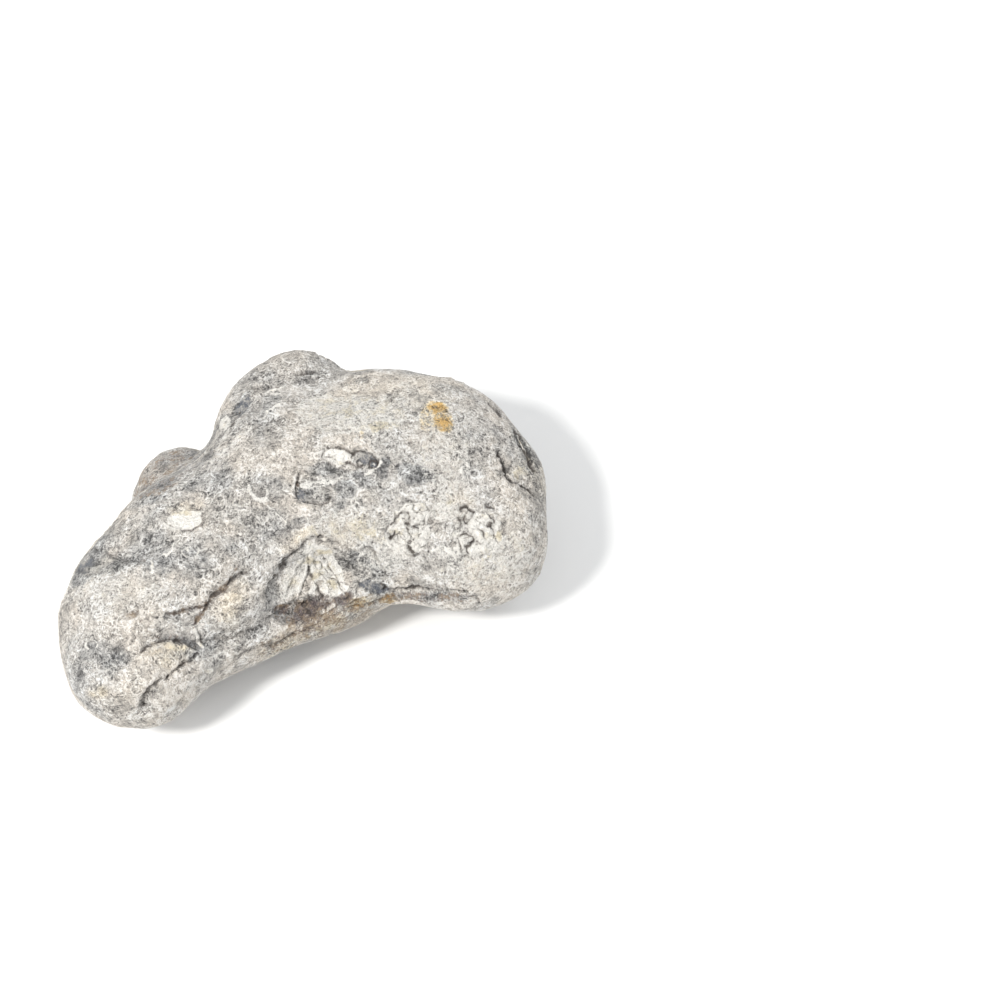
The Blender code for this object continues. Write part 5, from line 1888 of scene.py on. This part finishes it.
    def _stained_and_shaded(self, on: Patterns, colour: Socket) -> Socket:
        """A colour stained by rust, and darkened in cracks by dirt and painted shade."""
        graph = on.graph
        rust = graph.mask(Mask.RUST)
        patchy = graph.total(graph.times(on.ragged, 0.9), (on.mottle, 2.2))
        stain = graph.times(graph.total(rust, patchy), graph.rise(rust, Rise(0.0, 0.25)))
        colour = graph.tinted(graph.rise(stain, Rise(-0.1, 0.95)), colour, self.tan)
        colour = graph.tinted(graph.rise(stain, Rise(0.6, 1.3)), colour, self.rust)
        # Dirt and painted shade darken cracks, seams, pits and low places.
        dirt_and_shade = graph.total(graph.mask(Mask.CREVICE), (on.ragged, 0.9))
        colour = graph.tinted(graph.rise(dirt_and_shade, Rise(0.10, 0.9, 0.0, 0.7)), colour, self.grime_and_shade)
        return graph.mix(graph.rise(dirt_and_shade, Rise(0.62, 1.15, 0.0, 0.85)), colour, self.crevice)

    def _height(self, on: Patterns, chalk: Socket) -> Socket:
        """The height of the fine relief."""
        return on.graph.total(
            on.plates,
            (on.bruise, 0.24),
            (on.score, -0.20),
            (on.scratch, -0.12),
            (on.ditches, -0.14),
            (on.mottle, 0.9),
            (on.fleck, 0.6),
            (on.grain, 0.3),
            (on.chip, 0.10),
            (on.dots, -0.18),
            (chalk, 0.12),
        )

    def material(self) -> bpy.types.Material:
        """Makes the material."""
        made = bpy.data.materials.new("flint_cortex")
        made.use_nodes = True
        made.node_tree.nodes.clear()
        graph = Graph(made.node_tree)
        on = Patterns(graph)
        tone = self._tone(on)
        warm = graph.times(graph.mask(Mask.WARM), graph.rise(on.mottle, Rise(-0.15, 0.12, 0.35, 1.0)))
        chalk = graph.rise(graph.total(graph.mask(Mask.CHALK), (on.ragged, 0.8)), Rise(0.25, 0.60))
        colour = self._stone(on, tone, warm)
        colour = self._chalked(on, colour, chalk, warm)
        colour = self._soiled_and_shaded(on, colour)
        colour = self._stained_and_shaded(on, colour)
        bump = graph.named(graph.node("Bump"), Strength=1.0, Distance=MM)
        graph.feed(bump.inputs["Height"], self._height(on, chalk))
        rough = graph.math("MULTIPLY_ADD", chalk, self.chalk_matt, graph.rise(tone, self.matt))
        shader = graph.named(graph.node("BsdfPrincipled"), IOR=self.ior, Base_Color=colour)
        graph.named(shader, Roughness=rough, Normal=bump.outputs["Normal"])
        graph.feed(graph.node("OutputMaterial").inputs["Surface"], shader.outputs["BSDF"])
        return made


@dataclass(frozen=True)
class PaperFinish:
    """Matt paper with faint unevenness.

    Attributes:
        colour: Its colour.
        dim: How much of that its darkest fibres keep.
        fibre: How many waves a millimetre they have.
        rough: Its roughness.
    """

    colour: Colour = (0.86, 0.86, 0.855)
    dim: float = 0.985
    fibre: float = 0.02
    rough: float = 0.9

    def material(self) -> bpy.types.Material:
        """Makes the material."""
        made = bpy.data.materials.new("pale_floor")
        made.use_nodes = True
        graph = Graph(made.node_tree)
        place = graph.scaled(graph.node("TexCoord").outputs["Object"], 1.0 / MM)
        darker = tuple(self.dim * part for part in self.colour)
        colour = graph.mix(graph.noise(place, self.fibre), self.colour, darker)
        graph.named(made.node_tree.nodes["Principled BSDF"], Roughness=self.rough, Base_Color=colour)
        return made


@dataclass(frozen=True)
class Lamp:
    """One soft area light.

    Attributes:
        name: What it is.
        place: Where it hangs, in metres.
        size: Its width, in metres.
        power: Its power, in watts.
        colour: Its colour.
    """

    name: str
    place: Point3
    size: float
    power: float
    colour: Colour = (1.0, 1.0, 1.0)

    def hang(self, aim: Vector) -> None:
        """Makes the light and points it.

        Args:
            aim: What it points at.
        """
        data = bpy.data.lights.new(self.name, "AREA")
        data.shape = "DISK"
        data.size = self.size
        data.energy = self.power
        data.color = self.colour
        lamp = bpy.data.objects.new(self.name, data)
        lamp.location = self.place
        lamp.rotation_euler = (aim - Vector(self.place)).to_track_quat("-Z", "Y").to_euler()
        bpy.context.scene.collection.objects.link(lamp)


@dataclass(frozen=True)
class Studio:
    """The plain floor, the soft light and the camera.

    Attributes:
        floor_size: The floor's width, in metres.
        lamps: The lamps.
        sky: Strength of the even light from all round.
        sky_colour: Its colour.
        sight: Where the camera is and what it looks at.
        lens: Its focal length.
        sensor: Its sensor's width.
        near: The nearest it sees, in metres.
    """

    floor_size: float = 6.0
    lamps: tuple[Lamp, ...] = (
        Lamp("key", (-0.54, -0.48, 1.05), 0.22, 14.5, (1.0, 0.985, 0.96)),
        Lamp("fill", (0.95, 0.35, 1.0), 1.2, 6.0, (0.95, 0.975, 1.0)),
    )
    sky: float = 0.74
    sky_colour: Colour = (0.98, 0.99, 1.0)
    sight: Sight = FRONT_SIGHT
    lens: float = 73.57
    sensor: float = 36.0
    near: float = 0.01

    def floor(self) -> bpy.types.Object:
        """Makes the floor, level with what the nodule rests on."""
        sheet = bmesh.new()
        bmesh.ops.create_grid(sheet, x_segments=1, y_segments=1, size=self.floor_size / 2)
        mesh = bpy.data.meshes.new("floor")
        sheet.to_mesh(mesh)
        sheet.free()
        mesh.materials.append(PaperFinish().material())
        made = bpy.data.objects.new("floor", mesh)
        bpy.context.scene.collection.objects.link(made)
        return made

    def camera(self) -> None:
        """Puts the camera at its viewpoint."""
        data = bpy.data.cameras.new("camera")
        data.sensor_width = self.sensor
        data.lens = self.lens
        data.clip_start = self.near
        made = bpy.data.objects.new("camera", data)
        eye, aim = Vector(self.sight.eye) * MM, Vector(self.sight.aim) * MM
        made.location = eye
        made.rotation_euler = (aim - eye).to_track_quat("-Z", "Y").to_euler()
        bpy.context.scene.collection.objects.link(made)
        bpy.context.scene.camera = made

    def light(self) -> None:
        """Hangs the lamps and sets the even light from all round."""
        for lamp in self.lamps:
            lamp.hang(Vector(MIDDLE) * MM)
        world = bpy.data.worlds.new("studio")
        world.use_nodes = True
        ground = world.node_tree.nodes["Background"]
        ground.inputs["Color"].default_value = (*self.sky_colour, 1.0)
        ground.inputs["Strength"].default_value = self.sky
        bpy.context.scene.world = world
        bpy.context.scene.view_settings.view_transform = "Standard"

    def build(self) -> None:
        """Makes the whole studio."""
        self.floor()
        self.light()
        self.camera()


def main() -> None:
    """Builds the nodule and its studio."""
    logging.basicConfig(level=logging.INFO, format="%(name)s: %(message)s")
    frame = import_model()
    piece = Skin(frame["nodes"][NODE], SkinSizes()).build("nodule_skin")
    piece.data.materials.append(CortexFinish().material())
    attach(piece, BODY)
    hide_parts(NODE)
    Studio().build()


if __name__ == "__main__":
    main()
